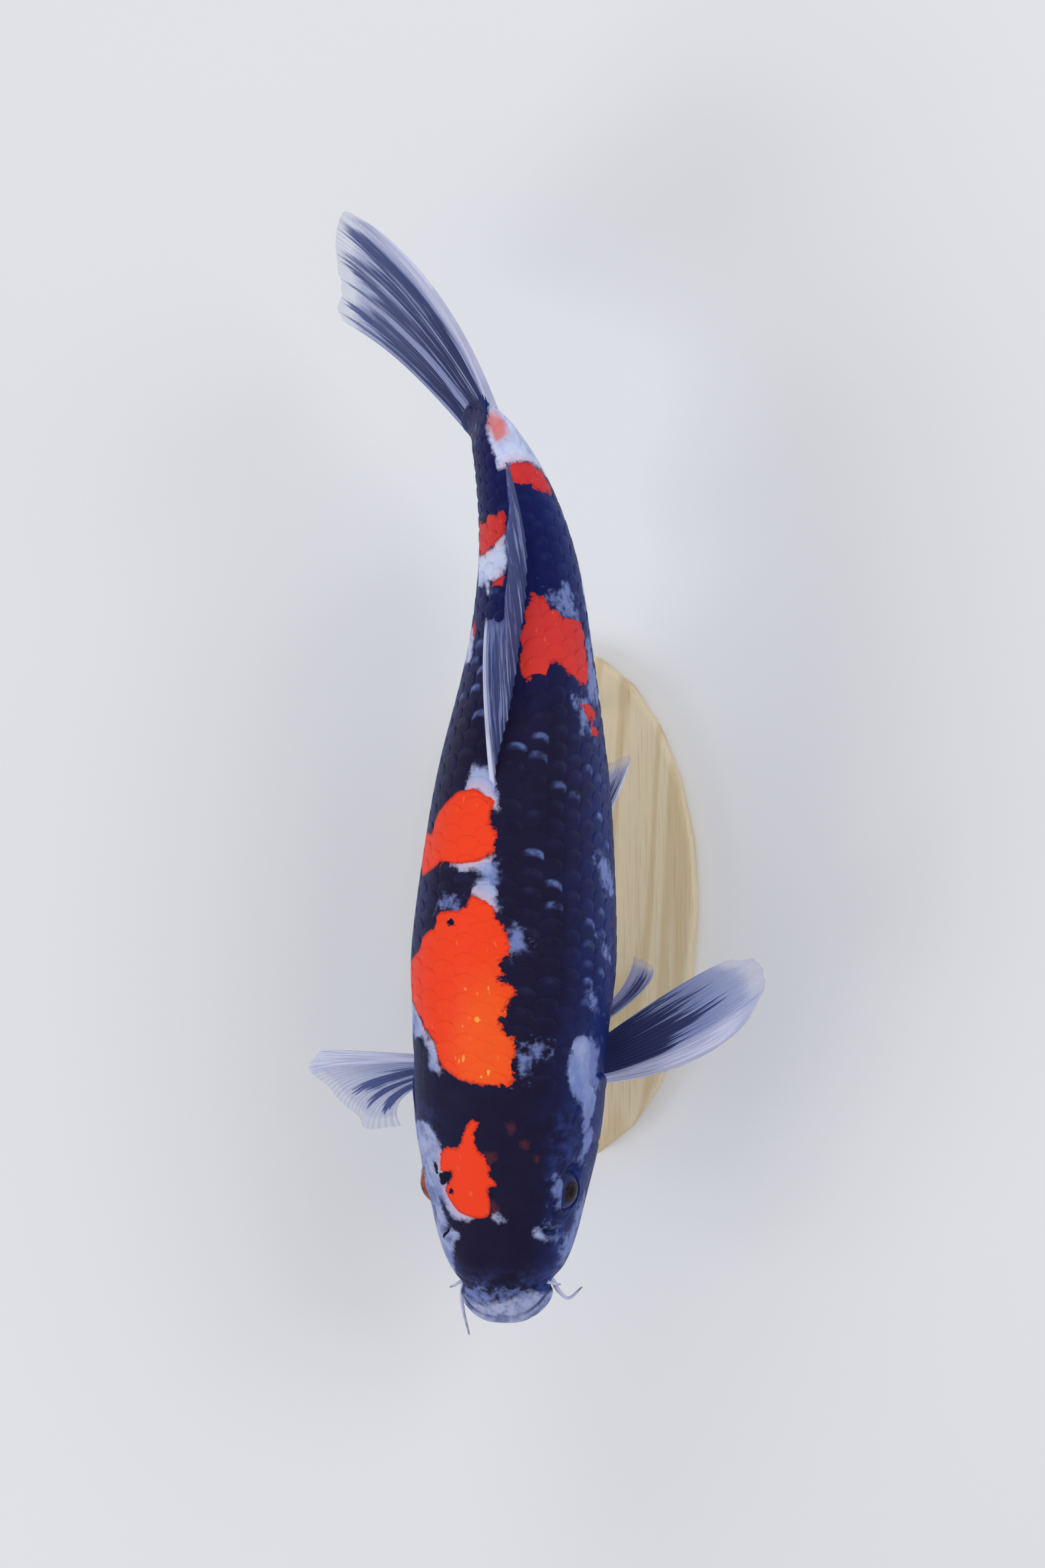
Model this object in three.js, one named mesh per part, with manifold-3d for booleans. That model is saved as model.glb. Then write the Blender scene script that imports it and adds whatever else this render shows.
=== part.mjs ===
// A life-size display model of a koi carp, gliding in a gentle turn, held over a flat base by two short rods.
// Millimetres, +Z up. The head points to -Y and the fish's left side is +X.
// The origin is the middle of the base's underside.
import * as THREE from "three";
import { mergeVertices } from "three/addons/utils/BufferGeometryUtils.js";
import Module from "manifold-3d";

const wasm = await Module();
wasm.setup();

// Driving dimensions
const bodyLength = 400; // lips to the root of the tail fin, along the backbone
const axisHeight = 118; // the body's axis above the underside of the base
const snout = new THREE.Vector3(-5.3, -177, axisHeight);
const joinGap = 0.3; // clear gap between pieces that meet
const degree = Math.PI / 180;

// The turn, as the backbone's heading in degrees to the left: nearly straight, then the tail swings right.
const turn = [
  [0, -1.5], [60, 1.8], [150, 3.3], [235, 3.2], [275, 2.6], [312, -2], [341, -10.5], [368, -19.5], [400, -38],
];
// The roll, in degrees with the back tipped to the right: hardly any, then the tail tips over to the left.
const roll = [[0, 3], [110, 2], [226, 2], [283, -6], [312, -11], [342, -15], [375, -21], [400, -30]];

const base = { length: 236, width: 124, thickness: 12, edge: 2.5 };
const rod = { radius: 3.5, sides: 16, front: 132, rear: 262 };
const collar = { radius: 8, height: 4 };
const cradle = { radius: 8.5, depth: 5 };

const skinColour = 0x23213a;
const paleColour = 0xd5d8ea;
const finColour = 0x9aa6d0;
const irisColour = 0xb5552a;
const steelColour = 0xb4b8bc;
const baseColour = 0xd9cdb8;

// Sections of the body from the mouth to the root of the tail. s is the place along the backbone; half is half
// the width; top, bottom and girdle (the widest line) are heights over the axis; back is how far the sides of
// the section lie behind its middle; full is its squareness, 1 being an ellipse and less being boxier.
const sections = [
  { name: "mouthFloor", s: 6, half: 9, top: -7.0, bottom: -8.4, girdle: -7.7, back: 3.5, full: 1 },
  { name: "lipInner", s: 2, half: 16, top: -6.4, bottom: -9.4, girdle: -8, back: 8, full: 1 },
  { name: "lipFront", s: 0, half: 18.2, top: -3.6, bottom: -12.4, girdle: -8, back: 8.5, full: 0.95 },
  { name: "lipOuter", s: 2.4, half: 20, top: 0.8, bottom: -16.8, girdle: -8, back: 8.8, full: 0.92 },
  { name: "lipFold", s: 6.5, half: 19.9, top: 2.4, bottom: -19, girdle: -8.5, back: 7.8, full: 0.92 },
  { name: "muzzle", s: 12.5, half: 19.7, top: 6.4, bottom: -22.5, girdle: -9, back: 6, full: 0.9 },
  { name: "snout", s: 22, half: 24.8, top: 12.6, bottom: -28, girdle: -10, back: 3.2, full: 0.87 },
  { name: "nostrils", s: 36, half: 29.2, top: 20, bottom: -34, girdle: -10.5, back: 0.8, full: 0.85 },
  { name: "eyes", s: 58, half: 34, top: 29, bottom: -40.5, girdle: -10, back: 0, full: 0.84 },
  { name: "cheeks", s: 80, half: 38.6, top: 37, bottom: -45, girdle: -8, back: 0, full: 0.86 },
  { name: "gills", s: 104, half: 40.7, top: 44, bottom: -48.5, girdle: -6, back: 0, full: 0.88 },
  { name: "shoulders", s: 130, half: 41.2, top: 49.5, bottom: -51.5, girdle: -3, back: 0, full: 0.9 },
  { name: "chest", s: 160, half: 43, top: 53.5, bottom: -54, girdle: -1, back: 0, full: 0.93 },
  { name: "back", s: 205, half: 39.3, top: 55.5, bottom: -54.5, girdle: 0, back: 0, full: 0.95 },
  { name: "dorsal", s: 243, half: 34.9, top: 52, bottom: -50.5, girdle: 0, back: 0, full: 0.97 },
  { name: "vent", s: 285, half: 27.7, top: 42, bottom: -42, girdle: 0, back: 0, full: 1 },
  { name: "rear", s: 328, half: 21.4, top: 31, bottom: -31, girdle: 0, back: 0, full: 1.02 },
  { name: "stem", s: 365, half: 14.8, top: 23, bottom: -23, girdle: 0, back: 0, full: 1.05 },
  { name: "stemEnd", s: 388, half: 8.4, top: 21.5, bottom: -21.5, girdle: 0, back: 0, full: 1.05 },
  { name: "tailRoot", s: 400, half: 4, top: 21.5, bottom: -21.5, girdle: 0, back: 0, full: 1.05 },
];
const body = { ringsPerSection: 2, around: 28, tailEnd: 404 };

// A smooth curve through [place, value] pairs.
function through(pairs) {
  const x = pairs.map((p) => p[0]);
  const y = pairs.map((p) => p[1]);
  const slope = x.map((_, i) => {
    const a = Math.max(i - 1, 0);
    const b = Math.min(i + 1, x.length - 1);
    return (y[b] - y[a]) / (x[b] - x[a]);
  });
  return (at) => {
    const t = Math.min(Math.max(at, x[0]), x[x.length - 1]);
    let i = 0;
    while (i < x.length - 2 && t > x[i + 1]) i++;
    const h = x[i + 1] - x[i];
    const u = (t - x[i]) / h;
    const v = 1 - u;
    const level = y[i] * (1 + 2 * u) * v * v + y[i + 1] * (3 - 2 * u) * u * u;
    return level + h * u * v * (slope[i] * v - slope[i + 1] * u);
  };
}

const rollAt = through(roll);
const sectionFields = ["s", "half", "top", "bottom", "girdle", "back", "full"];
const ringField = Object.fromEntries(
  sectionFields.map((field) => [field, through(sections.map((ring, i) => [i, ring[field]]))]),
);

// The backbone, walked in steps of 1 mm.
const turnAt = through(turn);
const headingAt = (s) => turnAt(s) * degree;

function backbone(s) {
  const point = snout.clone();
  const steps = Math.max(1, Math.ceil(Math.abs(s)));
  for (let i = 0; i < steps; i++) {
    const heading = headingAt(((i + 0.5) * s) / steps);
    point.x += (Math.sin(heading) * s) / steps;
    point.y += (Math.cos(heading) * s) / steps;
  }
  return point;
}

// The fish's own directions at a place along the backbone: towards the tail, to its left, and up.
function frameAt(s) {
  const heading = headingAt(s);
  const angle = rollAt(s) * degree;
  const tail = new THREE.Vector3(Math.sin(heading), Math.cos(heading), 0);
  const level = new THREE.Vector3(Math.cos(heading), -Math.sin(heading), 0);
  const upright = new THREE.Vector3(0, 0, 1);
  const left = level.clone().multiplyScalar(Math.cos(angle)).addScaledVector(upright, Math.sin(angle));
  const up = upright.clone().multiplyScalar(Math.cos(angle)).addScaledVector(level, -Math.sin(angle));
  return { origin: backbone(s), tail, left, up };
}

function place(frame, tailward, leftward, upward) {
  return frame.origin
    .clone()
    .addScaledVector(frame.tail, tailward)
    .addScaledVector(frame.left, leftward)
    .addScaledVector(frame.up, upward);
}

const signedPower = (value, power) => Math.sign(value) * Math.pow(Math.abs(value), power);

// A point of the body's surface on one ring; angle 0 is the fish's left, 90 degrees its back.
function ringPoint(ring, angle, grow = 0) {
  const sideways = signedPower(Math.cos(angle), ring.full);
  const upward = signedPower(Math.sin(angle), ring.full);
  const reach = upward > 0 ? ring.top - ring.girdle : ring.girdle - ring.bottom;
  const x = (ring.half + grow) * sideways;
  const z = ring.girdle + (reach + grow) * upward;
  return place(ring.frame, ring.back * Math.abs(sideways) ** 3, x, z);
}

function ringAt(index) {
  const ring = Object.fromEntries(sectionFields.map((field) => [field, ringField[field](index)]));
  ring.frame = frameAt(ring.s);
  return ring;
}

// The ring at a place along the backbone, behind the lips.
function ringAlong(s) {
  let low = sections.findIndex((ring) => ring.name === "lipFront");
  let high = sections.length - 1;
  for (let i = 0; i < 30; i++) {
    const middle = (low + high) / 2;
    if (ringField.s(middle) < s) low = middle;
    else high = middle;
  }
  return ringAt(low);
}

const surface = (s, angle, grow = 0) => ringPoint(ringAlong(s), angle, grow);

// Solids
function solidFromGrid(rows, front, end) {
  const around = rows[0].length;
  const points = [...rows.flat(), front, end];
  const last = rows.length - 1;
  const faces = [];
  for (let j = 0; j < around; j++) {
    const next = (j + 1) % around;
    faces.push([points.length - 2, j, next]);
    faces.push([points.length - 1, last * around + next, last * around + j]);
    for (let i = 0; i < last; i++) {
      const a = i * around + j;
      const b = i * around + next;
      faces.push([a, a + around, b], [b, a + around, b + around]);
    }
  }
  return solidFromFaces(points, faces);
}

function solidFromFaces(points, faces) {
  const made = new wasm.Manifold(
    new wasm.Mesh({
      numProp: 3,
      vertProperties: new Float32Array(points.flatMap((p) => [p.x, p.y, p.z])),
      triVerts: new Uint32Array(faces.flat()),
    }),
  );
  if (made.volume() > 0) return made;
  return solidFromFaces(
    points,
    faces.map(([a, b, c]) => [a, c, b]),
  );
}

function solidFromGeometry(geometry) {
  geometry.deleteAttribute("normal");
  geometry.deleteAttribute("uv");
  const merged = mergeVertices(geometry, 1e-4);
  return new wasm.Manifold(
    new wasm.Mesh({
      numProp: 3,
      vertProperties: new Float32Array(merged.attributes.position.array),
      triVerts: new Uint32Array(merged.index.array),
    }),
  );
}

function meshOf(name, solid, colour, roughness = 0.4, metalness = 0) {
  const made = solid.getMesh();
  const geometry = new THREE.BufferGeometry();
  geometry.setAttribute("position", new THREE.BufferAttribute(new Float32Array(made.vertProperties), 3));
  geometry.setIndex(new THREE.BufferAttribute(new Uint32Array(made.triVerts), 1));
  geometry.computeVertexNormals();
  const material = new THREE.MeshStandardMaterial({ color: colour, roughness, metalness });
  const mesh = new THREE.Mesh(geometry, material);
  mesh.name = name;
  return mesh;
}

// The whole body as one closed skin, optionally grown outwards to leave room round it.
function bodySolid(grow = 0) {
  const rows = [];
  for (let i = 0; i <= (sections.length - 1) * body.ringsPerSection; i++) {
    const ring = ringAt(i / body.ringsPerSection);
    rows.push(
      Array.from({ length: body.around }, (_, j) => ringPoint(ring, (j / body.around) * 2 * Math.PI, grow)),
    );
  }
  const mouth = ringAt(0);
  const tail = frameAt(bodyLength);
  return solidFromGrid(
    rows,
    place(mouth.frame, 1 - grow, 0, mouth.girdle),
    place(tail, body.tailEnd - bodyLength + grow, 0, 0),
  );
}

const wholeBody = bodySolid();
const bodyWithGap = bodySolid(joinGap);

// A prism across the fish at one place, from an outline of [tailward, upward] points, reaching from one
// distance out from the middle to another, on the left (side 1) or the right (side -1).
function prismAcross(s, outline, from, to, side) {
  const frame = frameAt(s);
  const points = [from, to].flatMap((out) => outline.map(([t, u]) => place(frame, t, side * out, u)));
  const n = outline.length;
  const faces = [];
  for (let i = 0; i < n; i++) {
    const next = (i + 1) % n;
    faces.push([i, next, n + i], [next, n + next, n + i]);
    if (i > 0 && i < n - 1) faces.push([0, i + 1, i], [n, n + i, n + i + 1]);
  }
  return solidFromFaces(points, faces);
}

// Everything behind the cut across the fish at one place, or a little ahead of it.
const behind = (s, ahead = 0) =>
  prismAcross(s, [[-ahead, -200], [600, -200], [600, 200], [-ahead, 200]], -300, 300, 1);

// The gill cover's outline: a straight front edge behind the cheek and a round rear edge.
function gillOutline(inset) {
  const height = 27 - inset;
  const reach = 24 - inset;
  const front = -8 + inset;
  const points = [[front, -height + 4], [front, height - 6]];
  for (let i = 0; i <= 8; i++) {
    const angle = (90 - (i * 180) / 8) * degree;
    points.push([reach * Math.cos(angle), height * Math.sin(angle) - 1]);
  }
  return points.reverse();
}

function addFlesh(group) {
  const gill = { s: 86, inner: 26, outer: 60, height: -6 };
  const shifted = (inset) => gillOutline(inset).map(([t, u]) => [t, u + gill.height]);
  const headEnd = 116;
  const stemStart = 334;
  let head = wholeBody.subtract(behind(headEnd, joinGap));
  for (const [name, side] of [["gill_cover_left", 1], ["gill_cover_right", -1]]) {
    const plate = prismAcross(gill.s, shifted(joinGap), gill.inner + joinGap, gill.outer, side);
    const cover = head.intersect(plate);
    head = head.subtract(prismAcross(gill.s, shifted(0), gill.inner, gill.outer, side));
    group.add(meshOf(name, cover, paleColour, 0.35));
  }
  for (const side of [1, -1]) head = head.subtract(eyeBall(side, eye.radius + joinGap));
  group.add(meshOf("head", head, skinColour, 0.35));
  const trunk = wholeBody.intersect(behind(headEnd)).subtract(behind(stemStart, joinGap));
  group.add(meshOf("trunk", trunk, skinColour, 0.4));
  group.add(meshOf("tail_stem", wholeBody.intersect(behind(stemStart)), skinColour, 0.4));
}

// Eyes: balls set into the sides of the head
const eye = { s: 61, height: 7, out: 24.2, radius: 10.4, segments: 14 };

function eyeBall(side, radius) {
  const centre = place(frameAt(eye.s), 0, side * eye.out, eye.height);
  const ball = solidFromGeometry(new THREE.SphereGeometry(radius, eye.segments, eye.segments / 2));
  return ball.translate(centre.toArray());
}

// Fins. Each is a fan of rays; a runs across the fan from its leading ray (0) to its last one (1), and r runs
// along a ray from its root (0) to its tip (1). mid and tip say how far half of a ray and a whole ray reach
// from its root, as rows of a, tailward, leftward and upward.
const fins = {
  fin_dorsal: {
    rays: 12, steps: 4, thick: [2.4, 1.1],
    root: (a) => ({ s: 226 + 96 * a, angle: 90 * degree, sink: 5 }),
    mid: [[0, 41, -2, 17], [0.15, 36, 0, 17], [0.3, 27, 0, 14], [0.6, 29, -4, 11], [1, 38, -4, 6]],
    tip: [
      [0, 75, -1, 26], [0.15, 61, 0, 25], [0.3, 47, -1, 19],
      [0.45, 43, -3, 17], [0.7, 44, -7, 15], [1, 45, -7, 12],
    ],
  },
  fin_anal: {
    rays: 7, steps: 4, thick: [2.4, 1.1],
    root: (a) => ({ s: 303 + 30 * a, angle: -90 * degree, sink: 5 }),
    mid: [[0, 13, 0, -18], [0.3, 15, 0, -18], [1, 10, 0, -6]],
    tip: [[0, 33, 0, -33], [0.3, 34, 0, -31], [1, 20, 0, -12]],
  },
  fin_caudal_upper: {
    rays: 9, steps: 6, thick: [2.6, 1.0],
    root: (a) => ({ s: 393, out: 0, height: 19.5 * (1 - a) + 1.2, sink: 0 }),
    mid: [[0, 45, -2, 25], [0.6, 52, -6, 10], [1, 49, -3, -2]],
    tip: [[0, 88, -18, 41], [0.2, 93, -23, 46], [0.6, 91, -23, 24], [1, 89, -16, -6]],
  },
  fin_caudal_lower: {
    rays: 9, steps: 6, thick: [2.6, 1.0],
    root: (a) => ({ s: 393, out: 0, height: -19.5 * (1 - a) - 1.2, sink: 0 }),
    mid: [[0, 48, 1, -24], [0.6, 49, -1, -14], [1, 49, -4, 0]],
    tip: [[0, 88, -4, -47], [0.2, 93, -4, -51], [0.6, 92, -7, -32], [1, 89, -16, -4]],
  },
  fin_pectoral_left: {
    rays: 10, steps: 6, thick: [2.8, 1.0],
    root: (a) => ({ s: 103 + 15 * a, angle: (-40 - 6 * a) * degree, sink: 4 }),
    mid: [[0, 12, 43, 7], [0.25, 19, 44, 6], [0.6, 25, 41, 6], [1, 27, 35, 5]],
    tip: [[0, 34, 71, 6], [0.25, 44, 77, 5], [0.6, 50, 74, 4], [1, 43, 61, 3]],
  },
  fin_pectoral_left_rear: {
    rays: 5, steps: 4, thick: [2.2, 1.0],
    root: (a) => ({ s: 124 + 6 * a, angle: (-50 - 2 * a) * degree, sink: 4 }),
    mid: [[0, 20, 24, 4], [1, 15, 16, 3]],
    tip: [[0, 32, 29, 2], [0.5, 32, 25, 1], [1, 30, 20, -1]],
  },
  fin_pectoral_right: {
    rays: 10, steps: 6, thick: [2.8, 1.0],
    root: (a) => ({ s: 110 - 4 * a, angle: (-140 + 10 * a) * degree, sink: 4 }),
    mid: [[0, -1, -46, -13], [0.25, -5, -51, -14], [0.5, -9, -47, -14], [0.7, -14, -43, -14], [1, -15, -33, -11]],
    tip: [
      [0, -3, -74, -30], [0.25, -11, -82, -32], [0.5, -21, -70, -30],
      [0.7, -30, -59, -28], [0.85, -34, -54, -25], [1, -31, -38, -21],
    ],
  },
  fin_pelvic_left: {
    rays: 7, steps: 4, thick: [2.4, 1.0],
    root: (a) => ({ s: 192 + 9 * a, angle: (-66 - 10 * a) * degree, sink: 4 }),
    mid: [[0, 31, 11, -7], [1, 21, 6, -10]],
    tip: [[0, 54, 18, -10], [0.3, 54, 18, -11], [1, 41, 8, -12]],
  },
  fin_pelvic_right: {
    rays: 7, steps: 4, thick: [2.4, 1.0],
    root: (a) => ({ s: 192 + 9 * a, angle: (-114 + 10 * a) * degree, sink: 4 }),
    mid: [[0, 31, -11, -7], [1, 21, -6, -10]],
    tip: [[0, 54, -18, -10], [0.3, 54, -18, -11], [1, 41, -8, -12]],
  },
};

function rootPoint(root) {
  if (root.angle === undefined) return place(frameAt(root.s), 0, root.out, root.height);
  return surface(root.s, root.angle, -root.sink);
}

const rowAt = (rows, a) => [1, 2, 3].map((k) => through(rows.map((row) => [row[0], row[k]]))(a));

function finPoint(fin, a, r) {
  const root = fin.root(a);
  const frame = frameAt(root.s);
  const mid = rowAt(fin.mid, a);
  const tip = rowAt(fin.tip, a);
  const reach = mid.map((half, k) => r * (4 * half - tip[k]) + r * r * (2 * tip[k] - 4 * half));
  return place({ ...frame, origin: rootPoint(root) }, reach[0], reach[1], reach[2]);
}

// A fin as a thin closed sheet, thicker along each ray than in the web between two rays.
function finSolid(fin) {
  const columns = 2 * fin.rays - 1;
  const front = [];
  const back = [];
  for (let i = 0; i < columns; i++) {
    const isRay = i % 2 === 0;
    const a = i / (columns - 1);
    const tipR = isRay ? 1 : 0.965; // the web stops a little short of the ray tips
    for (let j = 0; j <= fin.steps; j++) {
      const r = (tipR * j) / fin.steps;
      const across = finPoint(fin, Math.min(a + 0.02, 1), r).sub(finPoint(fin, Math.max(a - 0.02, 0), r));
      const along = finPoint(fin, a, r + 0.02).sub(finPoint(fin, a, r));
      const normal = across.cross(along).normalize();
      const full = fin.thick[0] + (fin.thick[1] - fin.thick[0]) * Math.pow(j / fin.steps, 0.7);
      const half = (isRay ? full : full * 0.62) / 2;
      front.push(finPoint(fin, a, r).addScaledVector(normal, half));
      back.push(finPoint(fin, a, r).addScaledVector(normal, -half));
    }
  }
  const rows = fin.steps + 1;
  const count = front.length;
  const faces = [];
  for (let i = 0; i < columns - 1; i++) {
    for (let j = 0; j < fin.steps; j++) {
      const a = i * rows + j;
      const b = a + rows;
      faces.push([a, a + 1, b], [b, a + 1, b + 1]);
      faces.push([count + a, count + b, count + a + 1], [count + b, count + b + 1, count + a + 1]);
    }
  }
  const rim = [];
  for (let i = 0; i < columns; i++) rim.push(i * rows);
  for (let j = 1; j < rows; j++) rim.push((columns - 1) * rows + j);
  for (let i = columns - 2; i >= 0; i--) rim.push(i * rows + rows - 1);
  for (let j = rows - 2; j > 0; j--) rim.push(j);
  for (let k = 0; k < rim.length; k++) {
    const p = rim[k];
    const q = rim[(k + 1) % rim.length];
    faces.push([p, q, count + p], [q, count + q, count + p]);
  }
  return solidFromFaces([...front, ...back], faces);
}

function addFins(group) {
  for (const [name, fin] of Object.entries(fins)) {
    const cut = finSolid(fin).subtract(bodyWithGap);
    const largest = cut.decompose().sort((p, q) => q.volume() - p.volume())[0];
    group.add(meshOf(name, largest, finColour, 0.45));
  }
}

function addEyes(group) {
  for (const [name, side] of [["eye_left", 1], ["eye_right", -1]]) {
    group.add(meshOf(name, eyeBall(side, eye.radius), irisColour, 0.15));
  }
}

// Barbels: short tapering feelers at the corners of the mouth and on the upper lip
const barbels = {
  barbel_corner_left: { s: 12, angle: -8, to: [[-5, 3, -1], [-8, 7, -2], [-3, 13, -2]], radius: 1.3 },
  barbel_corner_right: { s: 11, angle: 188, to: [[-6, -2.5, -2], [-14, -2.5, -4], [-25, -0.5, -6]], radius: 1.3 },
  barbel_lip_left: { s: 12, angle: 12, to: [[-0.5, 2, -0.5], [-1, 3.5, -2], [-1.5, 4.5, -4.5]], radius: 0.9 },
  barbel_lip_right: { s: 12, angle: 165, to: [[-1, -2, 0], [-2, -3.5, -0.5], [-3, -6, -1]], radius: 0.9 },
};
const barbel = { sides: 8, steps: 8, sunk: 3, tip: 0.45 };

function addBarbels(group) {
  for (const [name, feeler] of Object.entries(barbels)) {
    const frame = frameAt(feeler.s);
    const start = surface(feeler.s, feeler.angle * degree);
    const inward = surface(feeler.s, feeler.angle * degree, -barbel.sunk);
    const stops = feeler.to.map(([t, l, u]) => place({ ...frame, origin: start }, t, l, u));
    const curve = new THREE.CatmullRomCurve3([inward, start, ...stops]);
    const frames = curve.computeFrenetFrames(barbel.steps);
    const rows = Array.from({ length: barbel.steps + 1 }, (_, i) => {
      const u = i / barbel.steps;
      const radius = feeler.radius + (barbel.tip - feeler.radius) * u;
      return Array.from({ length: barbel.sides }, (_, j) => {
        const angle = (j / barbel.sides) * 2 * Math.PI;
        return curve
          .getPointAt(u)
          .addScaledVector(frames.normals[i], radius * Math.cos(angle))
          .addScaledVector(frames.binormals[i], radius * Math.sin(angle));
      });
    });
    const solid = solidFromGrid(rows, inward, curve.getPointAt(1)).subtract(bodyWithGap);
    const largest = solid.decompose().sort((p, q) => q.volume() - p.volume())[0];
    group.add(meshOf(name, largest, paleColour, 0.4));
  }
}

// The stand: an oval base, and two rods with a collar at the foot and a shaped cradle under the belly
function ovalBase() {
  const inset = base.edge;
  const outline = new THREE.Shape();
  outline.absellipse(0, 0, base.width / 2 - inset, base.length / 2 - inset, 0, 2 * Math.PI);
  const geometry = new THREE.ExtrudeGeometry(outline, {
    depth: base.thickness - 2 * inset,
    bevelThickness: inset,
    bevelSize: inset,
    bevelSegments: 3,
    curveSegments: 12,
  });
  return solidFromGeometry(geometry.translate(0, 0, inset));
}

function upright(radius, from, to, x, y, sides = rod.sides) {
  const geometry = new THREE.CylinderGeometry(radius, radius, to - from, sides);
  return solidFromGeometry(geometry.rotateX(Math.PI / 2).translate(x, y, (from + to) / 2));
}

function ringRound(x, y) {
  const inner = rod.radius + joinGap;
  const profile = [
    [inner, 0], [collar.radius, 0], [collar.radius, collar.height - 1], [collar.radius - 1, collar.height],
    [inner, collar.height], [inner, 0],
  ].map(([r, z]) => new THREE.Vector2(r, z));
  const geometry = new THREE.LatheGeometry(profile, rod.sides);
  return solidFromGeometry(geometry.rotateX(Math.PI / 2).translate(x, y, base.thickness));
}

function addStand(group) {
  group.add(meshOf("stand_base", ovalBase(), baseColour, 0.5));
  for (const [name, s] of [["front", rod.front], ["rear", rod.rear]]) {
    const under = surface(s, -90 * degree);
    const cradleFoot = under.z - cradle.depth;
    const block = upright(cradle.radius, cradleFoot, under.z + cradle.depth, under.x, under.y);
    const dish = block.subtract(bodyWithGap);
    const shaft = upright(rod.radius, base.thickness, cradleFoot, under.x, under.y);
    group.add(meshOf("stand_rod_" + name, shaft, steelColour, 0.3, 1));
    group.add(meshOf("stand_collar_" + name, ringRound(under.x, under.y), steelColour, 0.3, 1));
    group.add(meshOf("stand_cradle_" + name, dish, steelColour, 0.5));
  }
}

const koi = new THREE.Group();
addFlesh(koi);
addEyes(koi);
addFins(koi);
addBarbels(koi);
addStand(koi);

export default koi;
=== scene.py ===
import math
import bpy
import numpy as np
from mathutils import Matrix, Vector


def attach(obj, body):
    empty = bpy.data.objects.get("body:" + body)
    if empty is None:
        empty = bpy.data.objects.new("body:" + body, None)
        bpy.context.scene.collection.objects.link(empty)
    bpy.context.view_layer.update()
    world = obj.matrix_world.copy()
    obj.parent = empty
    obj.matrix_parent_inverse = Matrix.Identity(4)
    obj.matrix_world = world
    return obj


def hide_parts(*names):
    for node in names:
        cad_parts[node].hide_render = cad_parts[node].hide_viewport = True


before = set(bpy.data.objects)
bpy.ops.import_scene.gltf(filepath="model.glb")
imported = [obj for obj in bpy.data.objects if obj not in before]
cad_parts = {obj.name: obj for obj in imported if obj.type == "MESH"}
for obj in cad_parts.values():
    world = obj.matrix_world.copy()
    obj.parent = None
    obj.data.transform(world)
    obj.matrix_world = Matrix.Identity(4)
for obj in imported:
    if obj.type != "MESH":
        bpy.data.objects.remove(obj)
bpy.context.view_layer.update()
bpy.ops.object.select_all(action="DESELECT")
mm = 0.001  # sizes below are in millimetres, the scene is in metres

# camera
cameraSetup = {
    "target": (3.5, 55.8, 118), "distance": 1500, "tilt": 12,  # degrees off straight down, towards +X
    "lens": 80, "sensor": 36,
}


def makeCamera(c):
    tilt = math.radians(c["tilt"])
    right = Vector((math.cos(tilt), 0, -math.sin(tilt)))
    back = Vector((math.sin(tilt), 0, math.cos(tilt)))
    up = Vector((0, 1, 0))
    bpy.ops.object.camera_add()
    camera = bpy.context.object
    camera.name = "viewCamera"
    turn = Matrix((right, up, back)).transposed().to_4x4()
    camera.matrix_world = Matrix.Translation((Vector(c["target"]) + back * c["distance"]) * mm) @ turn
    camera.data.lens = c["lens"]
    camera.data.sensor_width = c["sensor"]
    camera.data.sensor_height = c["sensor"]
    camera.data.sensor_fit = "AUTO"
    camera.data.clip_end = 20
    bpy.context.scene.camera = camera


makeCamera(cameraSetup)
bpy.context.scene.view_settings.view_transform = "Standard"
print("camera made")

# shape of the fish, the same as its solids
fish = {
    "axisHeight": 118, "snout": (-5.3, -177), "length": 400,
    # heading in degrees to the left, at each distance along the backbone
    "turn": [(0, -1.5), (60, 1.8), (150, 3.3), (235, 3.2), (275, 2.6), (312, -2), (341, -10.5), (368, -19.5),
             (400, -38)],
    "roll": [(0, 3), (110, 2), (226, 2), (283, -6), (312, -11), (342, -15), (375, -21), (400, -30)],
    # place along, half width, top, bottom, girdle, set-back of the sides, squareness
    "sections": [
        (6, 9, -7.0, -8.4, -7.7, 3.5, 1), (2, 16, -6.4, -9.4, -8, 8, 1),
        (0, 18.2, -3.6, -12.4, -8, 8.5, 0.95), (2.4, 20, 0.8, -16.8, -8, 8.8, 0.92),
        (6.5, 19.9, 2.4, -19, -8.5, 7.8, 0.92), (12.5, 19.7, 6.4, -22.5, -9, 6, 0.9),
        (22, 24.8, 12.6, -28, -10, 3.2, 0.87), (36, 29.2, 20, -34, -10.5, 0.8, 0.85),
        (58, 34, 29, -40.5, -10, 0, 0.84), (80, 38.6, 37, -45, -8, 0, 0.86),
        (104, 40.7, 44, -48.5, -6, 0, 0.88), (130, 41.2, 49.5, -51.5, -3, 0, 0.9),
        (160, 43, 53.5, -54, -1, 0, 0.93), (205, 39.3, 55.5, -54.5, 0, 0, 0.95),
        (243, 34.9, 52, -50.5, 0, 0, 0.97), (285, 27.7, 42, -42, 0, 0, 1),
        (328, 21.4, 31, -31, 0, 0, 1.02), (365, 14.8, 23, -23, 0, 0, 1.05),
        (388, 8.4, 21.5, -21.5, 0, 0, 1.05), (400, 4, 21.5, -21.5, 0, 0, 1.05)],
}


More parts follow.
